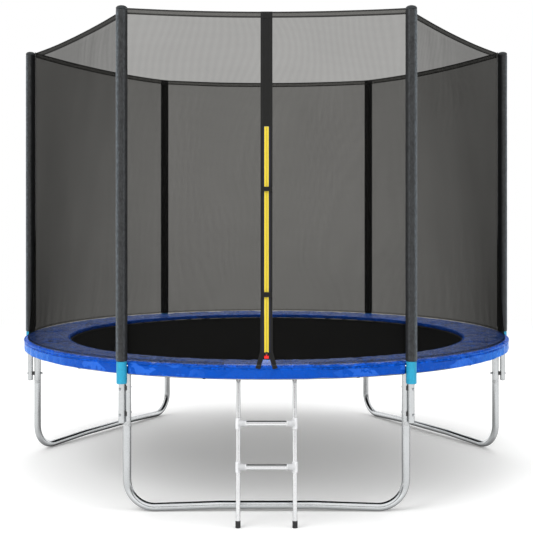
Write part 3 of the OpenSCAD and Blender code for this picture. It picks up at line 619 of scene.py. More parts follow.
def net_mat(name, dens=0.98, shade=(0.0033, 0.0033, 0.0031), folds=1.0, stitch=None):
    """Knitted netting: see-through, denser where seen at a slant; its cells show close up."""
    m = Mat(name, (0.1, 0.1, 0.1))
    u, v = m.attr("u"), m.attr("v")
    geo = m.node("NewGeometry")
    d = m.node("VectorMath", operation="DOT_PRODUCT")
    m.put(d.inputs[0], geo.outputs["Incoming"])
    m.put(d.inputs[1], geo.outputs["True Normal"])
    c = m.math("MAXIMUM", m.math("ABSOLUTE", d.outputs["Value"]), 0.30)
    k = m.math("MULTIPLY", m.math("POWER", c, -0.42), dens)
    k = m.math("MULTIPLY", k, m.rng(v, 1.7, 0.8, 1.0, 1.05))
    # fine interference streaks and slack in the knit
    w = m.noise(1.1, 1, 0.4)
    s1 = m.wave(m.math("ADD", u, m.math("MULTIPLY", w, 0.9)), 0.042)
    s2 = m.wave(m.math("ADD", m.math("MULTIPLY", v, 1.0), m.math("MULTIPLY", w, 0.5)), 0.055)
    streak = m.math("SUBTRACT", m.math("ADD", m.math("MULTIPLY", s1, 0.75), m.math("MULTIPLY", s2, 0.25)), 0.5)
    soft = m.math("SUBTRACT", m.noise(3.2, 3, 0.55), 0.5)
    mod = m.math("ADD", 1.0, m.math("ADD", m.math("MULTIPLY", streak, 0.055 * folds),
                                    m.math("MULTIPLY", soft, 0.12 * folds)))
    k = m.math("MULTIPLY", k, mod)
    # knitted cells, seen only from close by
    row = m.wave(v, 0.0036)
    col = m.wave(m.math("ADD", u, m.math("MULTIPLY", m.wave(v, 0.0072), 0.0009)), 0.0030)
    cell = m.math("SUBTRACT", m.math("MAXIMUM", row, col), 0.73)
    lp = m.node("LightPath")
    near = m.rng(lp.outputs["Ray Length"], 1.2, 3.2, 1.0, 0.12)
    k = m.math("MULTIPLY", k, m.math("ADD", 1.0, m.math("MULTIPLY", m.math("MULTIPLY", cell, 1.7), near)))
    thread = m.mix(m.noise(500, 2, 0.6), shade, sca(shade, 2.0))
    for at in (stitch or []):
        line = m.band(m.math("ABSOLUTE", v), at, 0.0016, 0.0006)
        k = m.math("ADD", k, m.math("MULTIPLY", line, 0.9))
        d2 = m.stitches(u, m.math("ABSOLUTE", v), at, 0.0005, 0.0050)
        thread = m.mix(m.math("MULTIPLY", d2, 0.7), thread, (0.03, 0.03, 0.03))
    k = m.math("MULTIPLY", k, m.math("ADD", m.math("MULTIPLY", lp.outputs["Is Camera Ray"], 0.5), 0.5))
    T = m.math("EXPONENT", m.math("MULTIPLY", k, -1.0), clamp=True)
    m.set(Base_Color=thread, Roughness=0.85, Specular_IOR_Level=0.0)
    tr = m.node("BsdfTransparent")
    tr.inputs[0].default_value = (1.0, 0.992, 0.968, 1)
    ms = m.node("MixShader")
    m.put(ms.inputs[0], T)
    m.put(ms.inputs[1], m.b.outputs[0])
    m.put(ms.inputs[2], tr.outputs[0])
    m.put(m.out.inputs[0], ms.outputs[0])
    return m.m


GALV = (0.492, 0.505, 0.513)
M_GALV = steel_mat("galvanised_steel", GALV, 0.15)
M_GALV_LEG = steel_mat("galvanised_steel_leg", GALV, 0.15, collar_and_painted_shade=True)
M_ZINC = steel_mat("bright_zinc", (0.40, 0.415, 0.43), 0.30, 0.05)
# painted shade: the spring wire is a darker grey than the tubes, standing in for the shade it hangs in under the pad
M_SPRING = steel_mat("spring_wire", (0.40, 0.405, 0.41), 0.34, 0.03)
M_LADDER = steel_mat("ladder_satin", (0.72, 0.725, 0.735), 0.17, 0.02, 0.9)
M_RUNG = steel_mat("ladder_satin_rung", (0.72, 0.725, 0.735), 0.17, 0.02, 0.9, shade=0.85)
M_WHITE = plastic_mat("white_plastic", (0.62, 0.62, 0.60), 0.42)
M_GREYP = plastic_mat("ladder_joint_plastic", (0.56, 0.565, 0.575), 0.34, 500)
M_CAP = plastic_mat("black_cap_plastic", (0.010, 0.013, 0.015), 0.36, 600, 0.0002)
M_RED = plastic_mat("red_plastic", lin(236, 18, 16), 0.32, 700)
M_BLACKP = plastic_mat("black_plastic", (0.012, 0.012, 0.012), 0.45)
M_RUBBER = plastic_mat("black_rubber", (0.012, 0.012, 0.013), 0.62, 350, 0.0003, 0.3)
# the second colours are painted: a pale sheen on the sleeves' edges, a darker edge shade on the cuffs
M_FOAM = foam_mat("charcoal_foam", (0.031, 0.032, 0.033), (0.094, 0.112, 0.126))
M_CUFF = foam_mat("cyan_foam", (0.022, 0.335, 0.530), (0.016, 0.240, 0.390), 0.6, 170, 0.3, 0.22)
# painted light: the pad top's vinyl is a far brighter blue than the same vinyl on the skirt, standing in for the light
# on the top
M_PAD = vinyl_mat("blue_vinyl_top", (0.050, 0.212, 0.980))
M_SKIRT = vinyl_mat("blue_vinyl_skirt", (0.0022, 0.074, 0.460), True)
M_PIPING = vinyl_mat("blue_piping", (0.003, 0.066, 0.400), True)
M_MAT = mat_cloth()
M_WEB = web_mat("black_webbing", (0.0105, 0.0105, 0.0100), stitch=[0.0095])
M_MATWEB = web_mat("mat_edge_webbing", (0.013, 0.013, 0.013), stitch=[0.004, 0.018], thread=(0.05, 0.05, 0.05))
M_BAND = net_mat("net_top_tape", 0.92, (0.010, 0.010, 0.0095), 0.4, stitch=[0.0095, 0.0138])
M_ZIPBAND = web_mat("zip_side_band", (0.0105, 0.0105, 0.0100), stitch=[0.0285, 0.0205])
M_TAPE = web_mat("yellow_zip_tape", (0.92, 0.735, 0.050), 0.0014, rough=0.62, stitch=[0.0100], thread=(0.60, 0.42, 0.02), low=0.86)
M_NET = net_mat("black_netting")
M_HEM = net_mat("black_netting_hem", 0.40)


def coil_mat():
    """Zip coil: rows of teeth along its length."""
    base = (0.86, 0.66, 0.045)
    m = Mat("zip_coil_teeth", base)
    x, y, z = m.xyz()
    teeth = m.wave(z, 0.0030)
    half = m.rng(m.math("ABSOLUTE", x), 0.0002, 0.0007)
    c = m.mix(teeth, sca(base, 0.55), base)
    c = m.mix(half, sca(base, 0.35), c)
    m.set(Base_Color=c, Roughness=0.4, Normal=m.bump(m.math("MULTIPLY", teeth, half), 0.0006, 1.0))
    return m.m


M_COIL = coil_mat()


def navy_mat():
    return web_mat("navy_zip_edge", (0.004, 0.009, 0.042), 0.0016, rough=0.7, stitch=[0.0185])


M_NAVY = navy_mat()

# CAD nodes that keep their shape take these finishes.
FINISH = {
    "pole_bolts": M_ZINC, "pole_bolt_nuts": M_ZINC, "spring_rings": M_SPRING,
    # the spacers are black plastic, which also stands in for the shade in the gap between pole stub and leg
    "pole_caps": M_CAP, "pole_end_plugs": M_BLACKP, "pole_spacers": M_BLACKP,
    "zip_coil": M_COIL, "zip_slider": M_BLACKP, "zip_tag": M_RED,
    "ladder_rail_left": M_LADDER, "ladder_rail_right": M_LADDER, "ladder_rungs": M_RUNG,
    "ladder_joints": M_GREYP, "ladder_hooks": M_LADDER, "ladder_feet": M_RUBBER,
    "pole_uppers": M_GALV,
}
for n, o in NODES.items():
    mat = FINISH.get(n)
    if mat is None and n.startswith(("leg_upright", "leg_base")):
        mat = M_GALV_LEG
    if mat is None and n.startswith(("rail_", "pole_lower")):
        mat = M_GALV
    if mat is not None:
        for s in o.material_slots:
            s.material = mat
        o.data.set_sharp_from_angle(angle=math.radians(32))


# ---------------------------------------------------------------- jump mat
def build_mat():
    b = Build()
    nr, na = 40, 192
    rr = np.concatenate([[0.0], MAT_R * (np.arange(1, nr) / (nr - 1)) ** 0.9])
    rr[-1] = MAT_R - 0.0006
    aa = np.arange(na) * TAU / na
    R, A = np.meshgrid(rr[1:], aa, indexing="ij")
    P = np.stack([R * np.cos(A), R * np.sin(A), np.zeros_like(R)], -1)
    wob = fbm(P.reshape(-1, 3), 1.4, 3, 5).reshape(R.shape) - 0.5
    ease = 1 - sstep(R, 0.9, 1.26)
    zt = MAT_TOP - 0.0004 - 0.0016 * ease * (1 + wob)
    zb = MAT_LOW + 0.0004 - 0.0016 * ease * (1 + wob)
    top, bot = P.copy(), P.copy()
    top[..., 2], bot[..., 2] = zt, zb
    n = (nr - 1) * na
    verts = np.concatenate([top.reshape(-1, 3), bot.reshape(-1, 3),
                            [[0, 0, zt[0].mean()], [0, 0, zb[0].mean()]]])
    f = grid_faces(nr - 1, na, wv=True) + grid_faces(nr - 1, na, wv=True, off=n, flip=True)
    for k in range(na):
        k2 = (k + 1) % na
        f.append([2 * n, k, k2])
        f.append([2 * n + 1, n + k2, n + k])
        e = (nr - 2) * na
        f.append([e + k, e + k + n, e + k2 + n, e + k2])
    b.add(verts, f, 0)
    o = b.obj("jump_mat", [M_MAT])
    outward(o)
    sharp(o, 50)
    return own(o, "mat", "black_mat", "mat")


def build_mat_webbing():
    b = Build()
    na = 240
    aa = np.arange(na) * TAU / na
    for up in (1, -1):
        r = np.array([MAT_R - 0.044, MAT_R - 0.0432, MAT_R - 0.034, MAT_R - 0.022, MAT_R - 0.010,
                      MAT_R - 0.0008, MAT_R])
        lift = np.array([0.0004, 0.0012, 0.0015, 0.0013, 0.0015, 0.0012, 0.0004])
        A, R = np.meshgrid(aa, r, indexing="ij")
        base = MAT_TOP if up > 0 else MAT_LOW
        Z = base + up * np.broadcast_to(lift, R.shape)
        P = np.stack([R * np.cos(A), R * np.sin(A), Z], -1)
        Q = P.copy()
        Q[..., 2] = base + up * 0.0001
        n = na * len(r)
        m_ = len(r)
        f = grid_faces(na, m_, wu=True) + grid_faces(na, m_, wu=True, off=n, flip=True)
        for k in range(na):
            k2 = (k + 1) % na
            for e in (0, m_ - 1):
                f.append([k * m_ + e, k2 * m_ + e, k2 * m_ + e + n, k * m_ + e + n])
        U = np.concatenate([(A * MAT_R).ravel()] * 2)
        V = np.concatenate([(R - (MAT_R - 0.022)).ravel()] * 2)
        b.add(np.concatenate([P.reshape(-1, 3), Q.reshape(-1, 3)]), f, 0, u=U, v=V)
    # folded loops that hold the wire rings
    bx = MAT_R + 0.005
    ang = np.linspace(-150, 150, 15) * math.pi / 180
    arc = np.stack([bx + 0.0040 * np.cos(ang), 0.0040 * np.sin(ang)], -1)
    top = [(MAT_R - 0.034, 0.0040), (MAT_R - 0.018, 0.0042), (MAT_R - 0.004, 0.0041), (bx - 0.0015, 0.0043)]
    prof = np.array([(x, z) for x, z in top] + [tuple(p) for p in arc[::-1][1:]])
    tang = np.gradient(prof, axis=0)
    tang /= np.linalg.norm(tang, axis=1)[:, None]
    nrm = np.stack([-tang[:, 1], tang[:, 0]], -1)
    length = np.concatenate([[0], np.cumsum(np.linalg.norm(np.diff(prof, axis=0), axis=1))])
    yy = np.linspace(-0.0105, 0.0105, 5)
    for k in range(SPRINGS):
        a = (k + 0.5) * TAU / SPRINGS
        ca, sa = math.cos(a), math.sin(a)
        P = np.zeros((len(prof), 5, 3))
        N = np.zeros_like(P)
        for i, (x, z) in enumerate(prof):
            for j, y in enumerate(yy):
                P[i, j] = (x * ca - y * sa, x * sa + y * ca, MAT_Z + z)
                N[i, j] = (nrm[i, 0] * ca, nrm[i, 0] * sa, nrm[i, 1])
        u = np.broadcast_to(length[:, None], (len(prof), 5))
        v = np.broadcast_to(yy[None, :], (len(prof), 5))
        strip(b, P, N, 0.0010, 0, u, v)
    o = b.obj("mat_edge_webbing", [M_MATWEB])
    outward(o)
    sharp(o, 45)
    return own(o, "mat", "black_webbing", "mat_webbing")


# ------------------------------------------------------------------ springs
def build_springs():
    """Coil springs in threes, each stretching between the ring and the mat."""
    inner, outer = MAT_R + 0.033 + 0.016, RING_R - 0.030
    tilt = math.radians(40)
    hook = np.array([RING_R - 0.0252 * math.sin(tilt), RING_Z + 0.0252 * math.cos(tilt)])
    deep = np.array([RING_R - 0.012 * math.sin(tilt), RING_Z + 0.012 * math.cos(tilt)])
    ring_x = MAT_R + 0.033
    turns, per = 27, 9
    n = turns * per + 1
    t = np.linspace(0, 1, n)
    x0, x1 = inner + 0.006, outer - 0.007
    ph = t * turns * TAU
    rad = 0.0085 * np.minimum(1, np.minimum(t, 1 - t) * turns / 1.2 * 0.8 + 0.2)
    coil = np.stack([x0 + (x1 - x0) * t, rad * np.sin(ph), rad * np.cos(ph)], -1)
    start = [(ring_x + 0.0052 * math.cos(q), 0.0, 0.0052 * math.sin(q))
             for q in np.radians(np.linspace(60, 350, 14))]
    start = [(x, y, z) for x, y, z in start]
    path = start + [(inner - 0.006, 0, 0.0006), (inner, 0.0, 0.0012)] + [tuple(p) for p in coil] + \
        [(outer + 0.002, 0, 0.0006), (hook[0] - 0.004, 0, hook[1] - MAT_Z - 0.0012),
         (hook[0], 0, hook[1] - MAT_Z), ((hook[0] + deep[0]) / 2, 0, (hook[1] + deep[1]) / 2 - MAT_Z),
         (deep[0], 0, deep[1] - MAT_Z)]
    path = np.array(path)
    out = []
    for g in range(SPRINGS // 3):
        b = Build()
        for s in range(3):
            a = (g * 3 + s + 0.5) * TAU / SPRINGS
            ca, sa = math.cos(a), math.sin(a)
            P = np.stack([path[:, 0] * ca - path[:, 1] * sa, path[:, 0] * sa + path[:, 1] * ca,
                          path[:, 2] + MAT_Z], -1)
            path_tube(b, P, 0.00155, 5)
        o = b.obj("springs_%02d" % (g + 1), [M_SPRING])
        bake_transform(o)
        out.append(o)
    for o in out:
        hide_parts("springs")
    return out


# -------------------------------------------------------------------- pad
SEAMS = [math.radians(22.5 + 45 * k) for k in range(8)]


def ang_gap(a, b):
    return np.abs((a - b + math.pi) % TAU - math.pi)


def pad_angles():
    base = np.arange(720) * TAU / 720
    extra = [UP[i] + math.radians(d) for i in range(6) for d in np.arange(-1.6, 1.61, 0.1)]
    seam = [s + math.radians(d) for s in SEAMS for d in (-0.22, 0.0, 0.22)]
    keep = [a for a in base if min(ang_gap(a, u) for u in UP[:6]) > math.radians(1.65)
            and min(ang_gap(a, s) for s in SEAMS) > math.radians(0.3)]
    return np.sort(np.array(keep + extra + seam) % TAU)


def rim(a):
    """Outer radius of the pad: round notches where the poles pass."""
    r = np.full(a.shape, PAD_R)
    for u in UP[:6]:
        d = (a - u + math.pi) % TAU - math.pi
        y = POLE_R * np.sin(d)
        inside = np.abs(y) < CUFF_R + 0.0014
        c = POLE_R * np.cos(d) - np.sqrt(np.clip((CUFF_R + 0.0015) ** 2 - y ** 2, 0, None))
        r = np.where(inside & (np.abs(d) < 0.1), np.minimum(r, c), r)
    return r


def build_pad():
    a = pad_angles()
    na = len(a)
    ro = rim(a) - 0.0012
    zt, zb = PAD_TOP - 0.0065, PAD_UNDER + 0.0006
    ntop, nbot = 20, 9
    prof = []                                       # (offset from inner, offset from outer, share, z)
    prof += [(0.0030, 0, 0.0, zb + 0.0010), (0.0006, 0, 0.0, zb + 0.0055), (0.0004, 0, 0.0, (zb + zt) / 2),
             (0.0008, 0, 0.0, zt - 0.0050), (0.0035, 0, 0.0, zt - 0.0012)]
    k0 = len(prof)
    for k in range(ntop):
        s = (k + 0.5) / ntop
        prof.append((0.0085 * (1 - s), -0.0110 * s, s, zt))
    k1 = len(prof)
    prof += [(0, -0.0040, 1.0, zt - 0.0010), (0, -0.0010, 1.0, zt - 0.0045), (0, -0.0006, 1.0, (zb + zt) / 2),
             (0, -0.0012, 1.0, zb + 0.0045), (0, -0.0045, 1.0, zb + 0.0006)]
    k2 = len(prof)
    for k in range(nbot):
        s = 1 - (k + 0.5) / nbot
        prof.append((0.008 * (1 - s), -0.010 * s, s, zb))
    prof = np.array(prof)
    npf = len(prof)
    S = prof[None, :, 2]
    R = PAD_IN + prof[None, :, 0] * 1.0 + (ro[:, None] - PAD_IN) * S + prof[None, :, 1]
    A = np.broadcast_to(a[:, None], R.shape)
    Z = np.broadcast_to(prof[None, :, 3], R.shape).copy()
    under = Z < (zb + zt) / 2 - 0.001
    Z -= np.where(under, 0.0068 * (1 - sstep(R - PAD_IN, 0.006, 0.028)), 0)
    P = np.stack([R * np.cos(A), R * np.sin(A), Z], -1)
    b = Build()
    U = A * 1.4
    V = R - PAD_IN
    seam_w = np.zeros(R.shape)
    for s in SEAMS:
        seam_w = np.maximum(seam_w, (ang_gap(A, s) < math.radians(0.12)).astype(float))
    pin = np.maximum(seam_w, 0)
    pin[:, [1, 3, k1 + 1, k1 + 3]] = 1.0
    pin[:, k2:] = np.maximum(pin[:, k2:], 0.6)
    pin[:, [0, 2, 4, k1, k1 + 2, k1 + 4]] = np.maximum(pin[:, [0, 2, 4, k1, k1 + 2, k1 + 4]], 0.5)
    b.add(P.reshape(-1, 3), grid_faces(na, npf, wu=True, wv=True), 0, u=U.ravel(), v=V.ravel())
    o = b.obj("pad_cover", [M_PAD])
    outward(o)
    rest = P.reshape(-1, 3).copy()
    vg = o.vertex_groups.new(name="pin")
    w = pin.ravel()
    for val in (0.5, 0.6, 1.0):
        vg.add(np.nonzero(w == val)[0].tolist(), val, "REPLACE")
    md = o.modifiers.new("cloth", "CLOTH")
    st = md.settings
    st.quality = 4
    st.mass = 0.4
    st.tension_stiffness = st.compression_stiffness = 12
    st.shear_stiffness = 6
    st.bending_stiffness = 0.6
    st.use_pressure = True
    st.uniform_pressure_force = 3.0
    st.vertex_group_mass = "pin"
    st.pin_stiffness = 1.0
    st.effector_weights.gravity = 0.0
    md.collision_settings.use_collision = False
    md.collision_settings.use_self_collision = False
    md.point_cache.frame_start, md.point_cache.frame_end = 1, 20
    sc = bpy.context.scene
    for f in range(1, 21):
        sc.frame_set(f)
    dg = bpy.context.evaluated_depsgraph_get()
    ev = o.evaluated_get(dg).to_mesh()
    co = np.zeros(len(ev.vertices) * 3)
    ev.vertices.foreach_get("co", co)
    o.evaluated_get(dg).to_mesh_clear()
    co = co.reshape(-1, 3)
    o.modifiers.remove(md)
    sc.frame_set(1)
    d = co - rest
    d[~np.isfinite(d)] = 0
    mv = np.linalg.norm(d, axis=1)
    cap = 0.010
    d *= (np.minimum(mv, cap) / np.maximum(mv, 1e-9))[:, None]
    co = rest + d
    # creases pressed into the top: long shallow folds, short dents by the seams
    row = np.tile(np.arange(npf), na)
    top = (row >= k0) & (row < k1)
    wall = row < k0
    s = np.clip(V.ravel() / 0.28, 0, 1)
    edge = np.sin(np.pi * np.clip(s, 0.02, 0.98)) ** 0.5
    q = co * np.array([1, 1, 0.2])
    fold = ridge(q, 13, 3) ** 3
    long_ = ridge(q * np.array([1, 1, 1]), 5.5, 11) ** 4
    lump = fbm(q, 20, 3, 8) - 0.5
    sg = np.full(len(co), 9.0)
    for x in SEAMS:
        sg = np.minimum(sg, ang_gap(A.ravel(), x) * 1.4)
    pucker = np.exp(-(sg / 0.035) ** 2)
    channel = np.exp(-(sg / 0.0045) ** 2)
    star = vnoise(np.stack([np.round(sg / 0.011), V.ravel() / 0.022, A.ravel() * 3], -1), 21)
    dz = (-0.0068 * fold - 0.0075 * long_ + 0.0100 * lump - 0.0085 * pucker * star - 0.0040 * channel) * edge
    co[:, 2] += np.where(top, dz + 0.0012, 0)
    co[:, :2] *= (1 + np.where(wall, 0.0016 * (fbm(q, 24, 2, 9) - 0.5), 0))[:, None]
    rad = np.hypot(co[:, 0], co[:, 1])
    co[:, 2] += np.where(top, 0.0040 * sstep(rad, 1.478, 1.498) * (1 - sstep(rad, 1.527, 1.536)), 0)
    ceil = np.where(rad > 1.498, PAD_TOP - 0.0002, PAD_TOP + 0.0045)
    floor = np.where(rad < MAT_R - 0.006, MAT_TOP + 0.0052, np.where(rad < MAT_R + 0.012, MAT_TOP + 0.0078, PAD_UNDER))
    co[:, 2] = np.clip(co[:, 2], floor, ceil)
    limit = rim(np.arctan2(co[:, 1], co[:, 0]) % TAU) - 0.0004
    k = np.minimum(1, limit / rad)
    co[:, 0] *= k
    co[:, 1] *= k
    o.data.vertices.foreach_set("co", co.ravel())
    o.data.update()
    sub = o.modifiers.new("smooth", "SUBSURF")
    sub.levels = sub.render_levels = 1
    return own(o, "frame", "blue_vinyl", "pad")


def build_pad_trim():
    """Piping round the pad's outer and inner edges."""
    b = Build()
    a = pad_angles()
    ro = rim(a) - 0.0020
    z = PAD_TOP - 0.0085 + 0.0004 * np.sin(a * 47) * np.sin(a * 13)
    P = np.stack([ro * np.cos(a), ro * np.sin(a), z], -1)
    path_tube(b, P, 0.0019, 7, closed=True, u=0.0)
    a2 = np.arange(420) * TAU / 420
    r2 = PAD_IN + 0.0012 + 0.0006 * np.sin(a2 * 31)
    P = np.stack([r2 * np.cos(a2), r2 * np.sin(a2), np.full(a2.shape, PAD_TOP - 0.0105)], -1)
    path_tube(b, P, 0.0017, 6, closed=True)
    o = b.obj("pad_piping", [M_PIPING])
    return own(o, "frame", "blue_vinyl")


def build_skirt():
    """Hanging skirt in six lengths between the poles, with a turned hem."""
    b = Build()
    gap = math.asin((CUFF_R + 0.0018) / POLE_R) * 0.955
    zt = PAD_TOP - 0.0085
    for i in range(6):
        a0, a1 = UP[i] + gap, UP[i + 1] - gap
        na = 260
        aa = np.linspace(a0, a1, na)
        # profile: down the outer face, round the hem, up the inside of the fold
        zz = np.concatenate([np.linspace(zt, SKIRT_LOW + 0.0010, 16), [SKIRT_LOW + 0.0002]])
        A, Z = np.meshgrid(aa, zz, indexing="ij")
        h = (zt - Z) / (zt - SKIRT_LOW)
        p = np.stack([np.cos(A) * 1.54, np.sin(A) * 1.54, Z], -1).reshape(-1, 3)
        n1 = (fbm(p, 6, 2, 31 + i) - 0.5).reshape(A.shape)
        n2 = ridge(p * np.array([1, 1, 1.6]), 9, 41 + i).reshape(A.shape)
        n3 = ridge(p * np.array([1, 1, 0.8]), 19, 51 + i, 1).reshape(A.shape)
        end = np.minimum(A - a0, a1 - A) * 1.54
        ends = sstep(end, 0.0, 0.03)
        free = 0.35 + 0.65 * h
        d = (0.0050 * n1 + 0.0050 * (n2 ** 2 - 0.5) - 0.0026 * n3 ** 3) * free * ends
        # it hangs clear of the ladder's hooks, which swing behind it
        hooks = 1 - sstep(ang_gap(A, -math.pi / 2), 0.125, 0.190)
        R = PAD_R - 0.0026 + np.clip(d, -0.0065 * (1 - hooks) + 0.0004 * hooks, 0.0022)
        hemz = 0.0016 * np.sin(A * 37 + i) * np.sin(A * 11.3) * h ** 2 * ends * (1 - hooks)
        seamline = np.zeros_like(A)
        for s in SEAMS:
            seamline = np.maximum(seamline, np.exp(-(ang_gap(A, s) * 1.54 / 0.004) ** 2))
        R = R - 0.0014 * seamline
        P = np.stack([R * np.cos(A), R * np.sin(A), Z + hemz], -1)
        N = np.stack([np.cos(A), np.sin(A), np.zeros_like(A)], -1)
        thick = 0.0012 + 0.0012 * (1 - sstep(Z - SKIRT_LOW, 0.010, 0.014))
        strip(b, P, N, thick[..., None], 0, A * 1.54, Z - SKIRT_LOW)
        # turned hem: a slim roll along the lower edge
        Rl = R[:, -1] - 0.0013
        Pl = np.stack([Rl * np.cos(aa), Rl * np.sin(aa), zz[-1] + 0.0016 + hemz[:, -1]], -1)
        path_tube(b, Pl, 0.0016, 6, u=0.0)
    o = b.obj("pad_skirt", [M_SKIRT])
    outward(o)
    sharp(o, 60)
    sub = o.modifiers.new("smooth", "SUBSURF")
    sub.levels = sub.render_levels = 1
    return own(o, "frame", "blue_vinyl")


def build_pad_straps():
    b = Build()
    n = 36
    t = np.arange(n + 3) * TAU / n
    yy = np.linspace(-0.0060, 0.0060, 5)
    for k in range(12):
        a = math.radians(k * 30 + 18)
        ca, sa = math.cos(a), math.sin(a)
        P = np.zeros((n + 3, 5, 3))
        N = np.zeros_like(P)
        for i, q in enumerate(t):
            rr = 0.021 + 0.0015 + (0.0007 if i > n else 0) * (i - n) / 2
            for j, y in enumerate(yy):
                x = RING_R + rr * math.cos(q)
                P[i, j] = (x * ca - y * sa, x * sa + y * ca, RING_Z + rr * math.sin(q))
                N[i, j] = (math.cos(q) * ca, math.cos(q) * sa, math.sin(q))
        u = np.broadcast_to((t * 0.024)[:, None], (n + 3, 5))
        v = np.broadcast_to(yy[None, :], (n + 3, 5))
        strip(b, P, N, 0.0012, 0, u, v)
    o = b.obj("pad_ties", [M_WEB])
    outward(o)
    sharp(o, 45)
    return own(o, "frame", "black_webbing", "pad_straps")


# --------------------------------------------------------------------- net
def net_pts(i, S, V, r, z0, z1, sag0=0.0, sag1=SAG):
    a0, a1 = UP[i], UP[i + 1]
    ang = a0 + (a1 - a0) * S
    bx, by = r * np.cos(ang), r * np.sin(ang)
    cx = r * (math.cos(a0) + (math.cos(a1) - math.cos(a0)) * S)
    cy = r * (math.sin(a0) + (math.sin(a1) - math.sin(a0)) * S)
    dip = 4 * S * (1 - S)
    lo = z0 - sag0 * dip
    zz = lo + (z1 - sag1 * dip - lo) * V
    f = (zz - NET_LOW) / (NET_TOP - NET_LOW)
    return np.stack([bx + (cx - bx) * f, by + (cy - by) * f, zz], -1)


def inwards(P):
    d = P.copy()
    d[..., 2] = 0
    return -d / np.linalg.norm(d, axis=-1)[..., None]


def hang(i, S, V, P, slack=1.0):
    """Slack in the netting: pulled tight at the poles and edges, with soft folds low down."""
    arc = S * (UP[i + 1] - UP[i]) * NET_R
    zz = P[..., 2]
    low = np.exp(-(zz - NET_LOW) / 0.32)
    edge = sstep(np.minimum(S, 1 - S), 0.0, 0.05) * sstep(V, 0.0, 0.02) * (1 - sstep(V, 0.985, 1.0))
    p = np.stack([arc * 3.0 + 7 * i, zz * 0.6, np.zeros_like(zz)], -1).reshape(-1, 3)
    n = fbm(p, 2.2, 3, 61 + i).reshape(S.shape)
    fan = np.exp(-((NET_TOP - zz) / 0.5)) * np.sin((arc / 0.09 + (NET_TOP - zz) * 3) * 1.6) ** 2
    d = 0.0050 * n + 0.0012 * low * (1 + np.sin(arc / 0.105 * TAU + 3 * n)) + 0.0005 * fan
    d = d * edge * slack
    return P + inwards(P) * d[..., None]


def net_panel(b, i, s0, s1, ns, nv, z0, z1, r, slack=1.0, mat=0, sag0=0.0, v_off=0.0, sag1=SAG):
    S, V = np.meshgrid(np.linspace(s0, s1, ns), np.linspace(0, 1, nv), indexing="ij")
    P = net_pts(i, S, V, r, z0, z1, sag0, sag1)
    if slack:
        P = hang(i, S, V, P, slack)
    arc = S * (UP[i + 1] - UP[i]) * NET_R + i * 1.7
    b.add(P.reshape(-1, 3), grid_faces(ns, nv), mat, u=arc.ravel(), v=(P[..., 2] - v_off).ravel())


CHORD0 = 2 * NET_R * math.sin(LEG_HALF)
DOOR_S = 0.5 - 0.0305 / CHORD0
BODY_TOP = NET_TOP - BAND_H + 0.003


def build_net():
    b = Build()
    for i in range(1, 6):
        net_panel(b, i, 0.0006, 0.9994, 88, 76, NET_LOW + 0.001, BODY_TOP, NET_R - 0.0006)
    walls = own(b.obj("net_wall_panels", [M_NET]), "frame", "black_net", "net_walls")
    out = [walls]
    for name, s0, s1 in (("left", 0.0006, DOOR_S), ("right", 1 - DOOR_S, 0.9994)):
        b = Build()
        net_panel(b, 0, s0, s1, 48, 76, NET_LOW + 0.001, BODY_TOP, NET_R - 0.0006, 0.7)
        out.append(own(b.obj("net_door_panel_" + name, [M_NET]), "frame", "black_net", "net_door_" + name))
    return out


def build_net_band():
    """Folded top tape of the net, stitched twice along each edge."""
    b = Build()
    for i in range(6):
        ns, nv = 80, 9
        S, V = np.meshgrid(np.linspace(0.0004, 0.9996, ns), np.linspace(0, 1, nv), indexing="ij")
        P = net_pts(i, S, V, NET_R + 0.0008, NET_TOP - BAND_H, NET_TOP, SAG)
        arc = S * (UP[i + 1] - UP[i]) * NET_R
        # turned edge, faint pucker between stitches
        bulge = 0.0011 * np.sin(np.pi * V) ** 0.6
        puck = 0.0007 * (fbm(np.stack([arc * 16, V * 2, S * 0 + i], -1).reshape(-1, 3), 1.0, 2, 71).reshape(S.shape) - 0.5)
        wob = 0.0022 * (fbm(np.stack([arc * 4, S * 0, S * 0 + i], -1).reshape(-1, 3), 1.0, 2, 73).reshape(S.shape) - 0.5)
        endw = sstep(np.minimum(S, 1 - S), 0, 0.03)
        P = P - inwards(P) * ((bulge + puck * endw) - 0.0014)[..., None]
        P[..., 2] += wob * endw * (0.4 + 0.6 * (1 - V))
        N = -inwards(P)
        v = (V - 0.5) * BAND_H
        strip(b, P, N, 0.0022, 0, arc + i, v)
    o = b.obj("net_top_tape", [M_BAND])
    outward(o)
    sharp(o, 50)
    return own(o, "frame", "grey_webbing", "net_top_band")


def build_net_ties():
    """Upright tapes sewn to the net's corners, against the sleeves."""
    b = Build()
    TIE_LOW = float(lo_hi("net_ties")[0][2])
    for i in range(6):
        a = UP[i]
        ca, sa = math.cos(a), math.sin(a)
        yy = np.linspace(-0.0115, 0.0115, 7)
        zz = np.linspace(TIE_LOW + 0.0005, NET_TOP + 0.0015, 120)
        P = np.zeros((len(yy), len(zz), 3))
        for j, y in enumerate(yy):
            for k, z in enumerate(zz):
                r = NET_R + 0.0037 + 0.0003 * math.cos(y / 0.0115 * 1.4)
                P[j, k] = (r * ca - y * sa, r * sa + y * ca, z)
        N = np.broadcast_to(np.array([ca, sa, 0.0]), P.shape)
        u = np.broadcast_to(zz[None, :], P.shape[:2])
        v = np.broadcast_to(yy[:, None], P.shape[:2])
        strip(b, P, N, 0.0022, 0, u, v)
    o = b.obj("net_corner_tapes", [M_WEB])
    outward(o)
    sharp(o, 45)
    return own(o, "frame", "black_webbing", "net_ties")


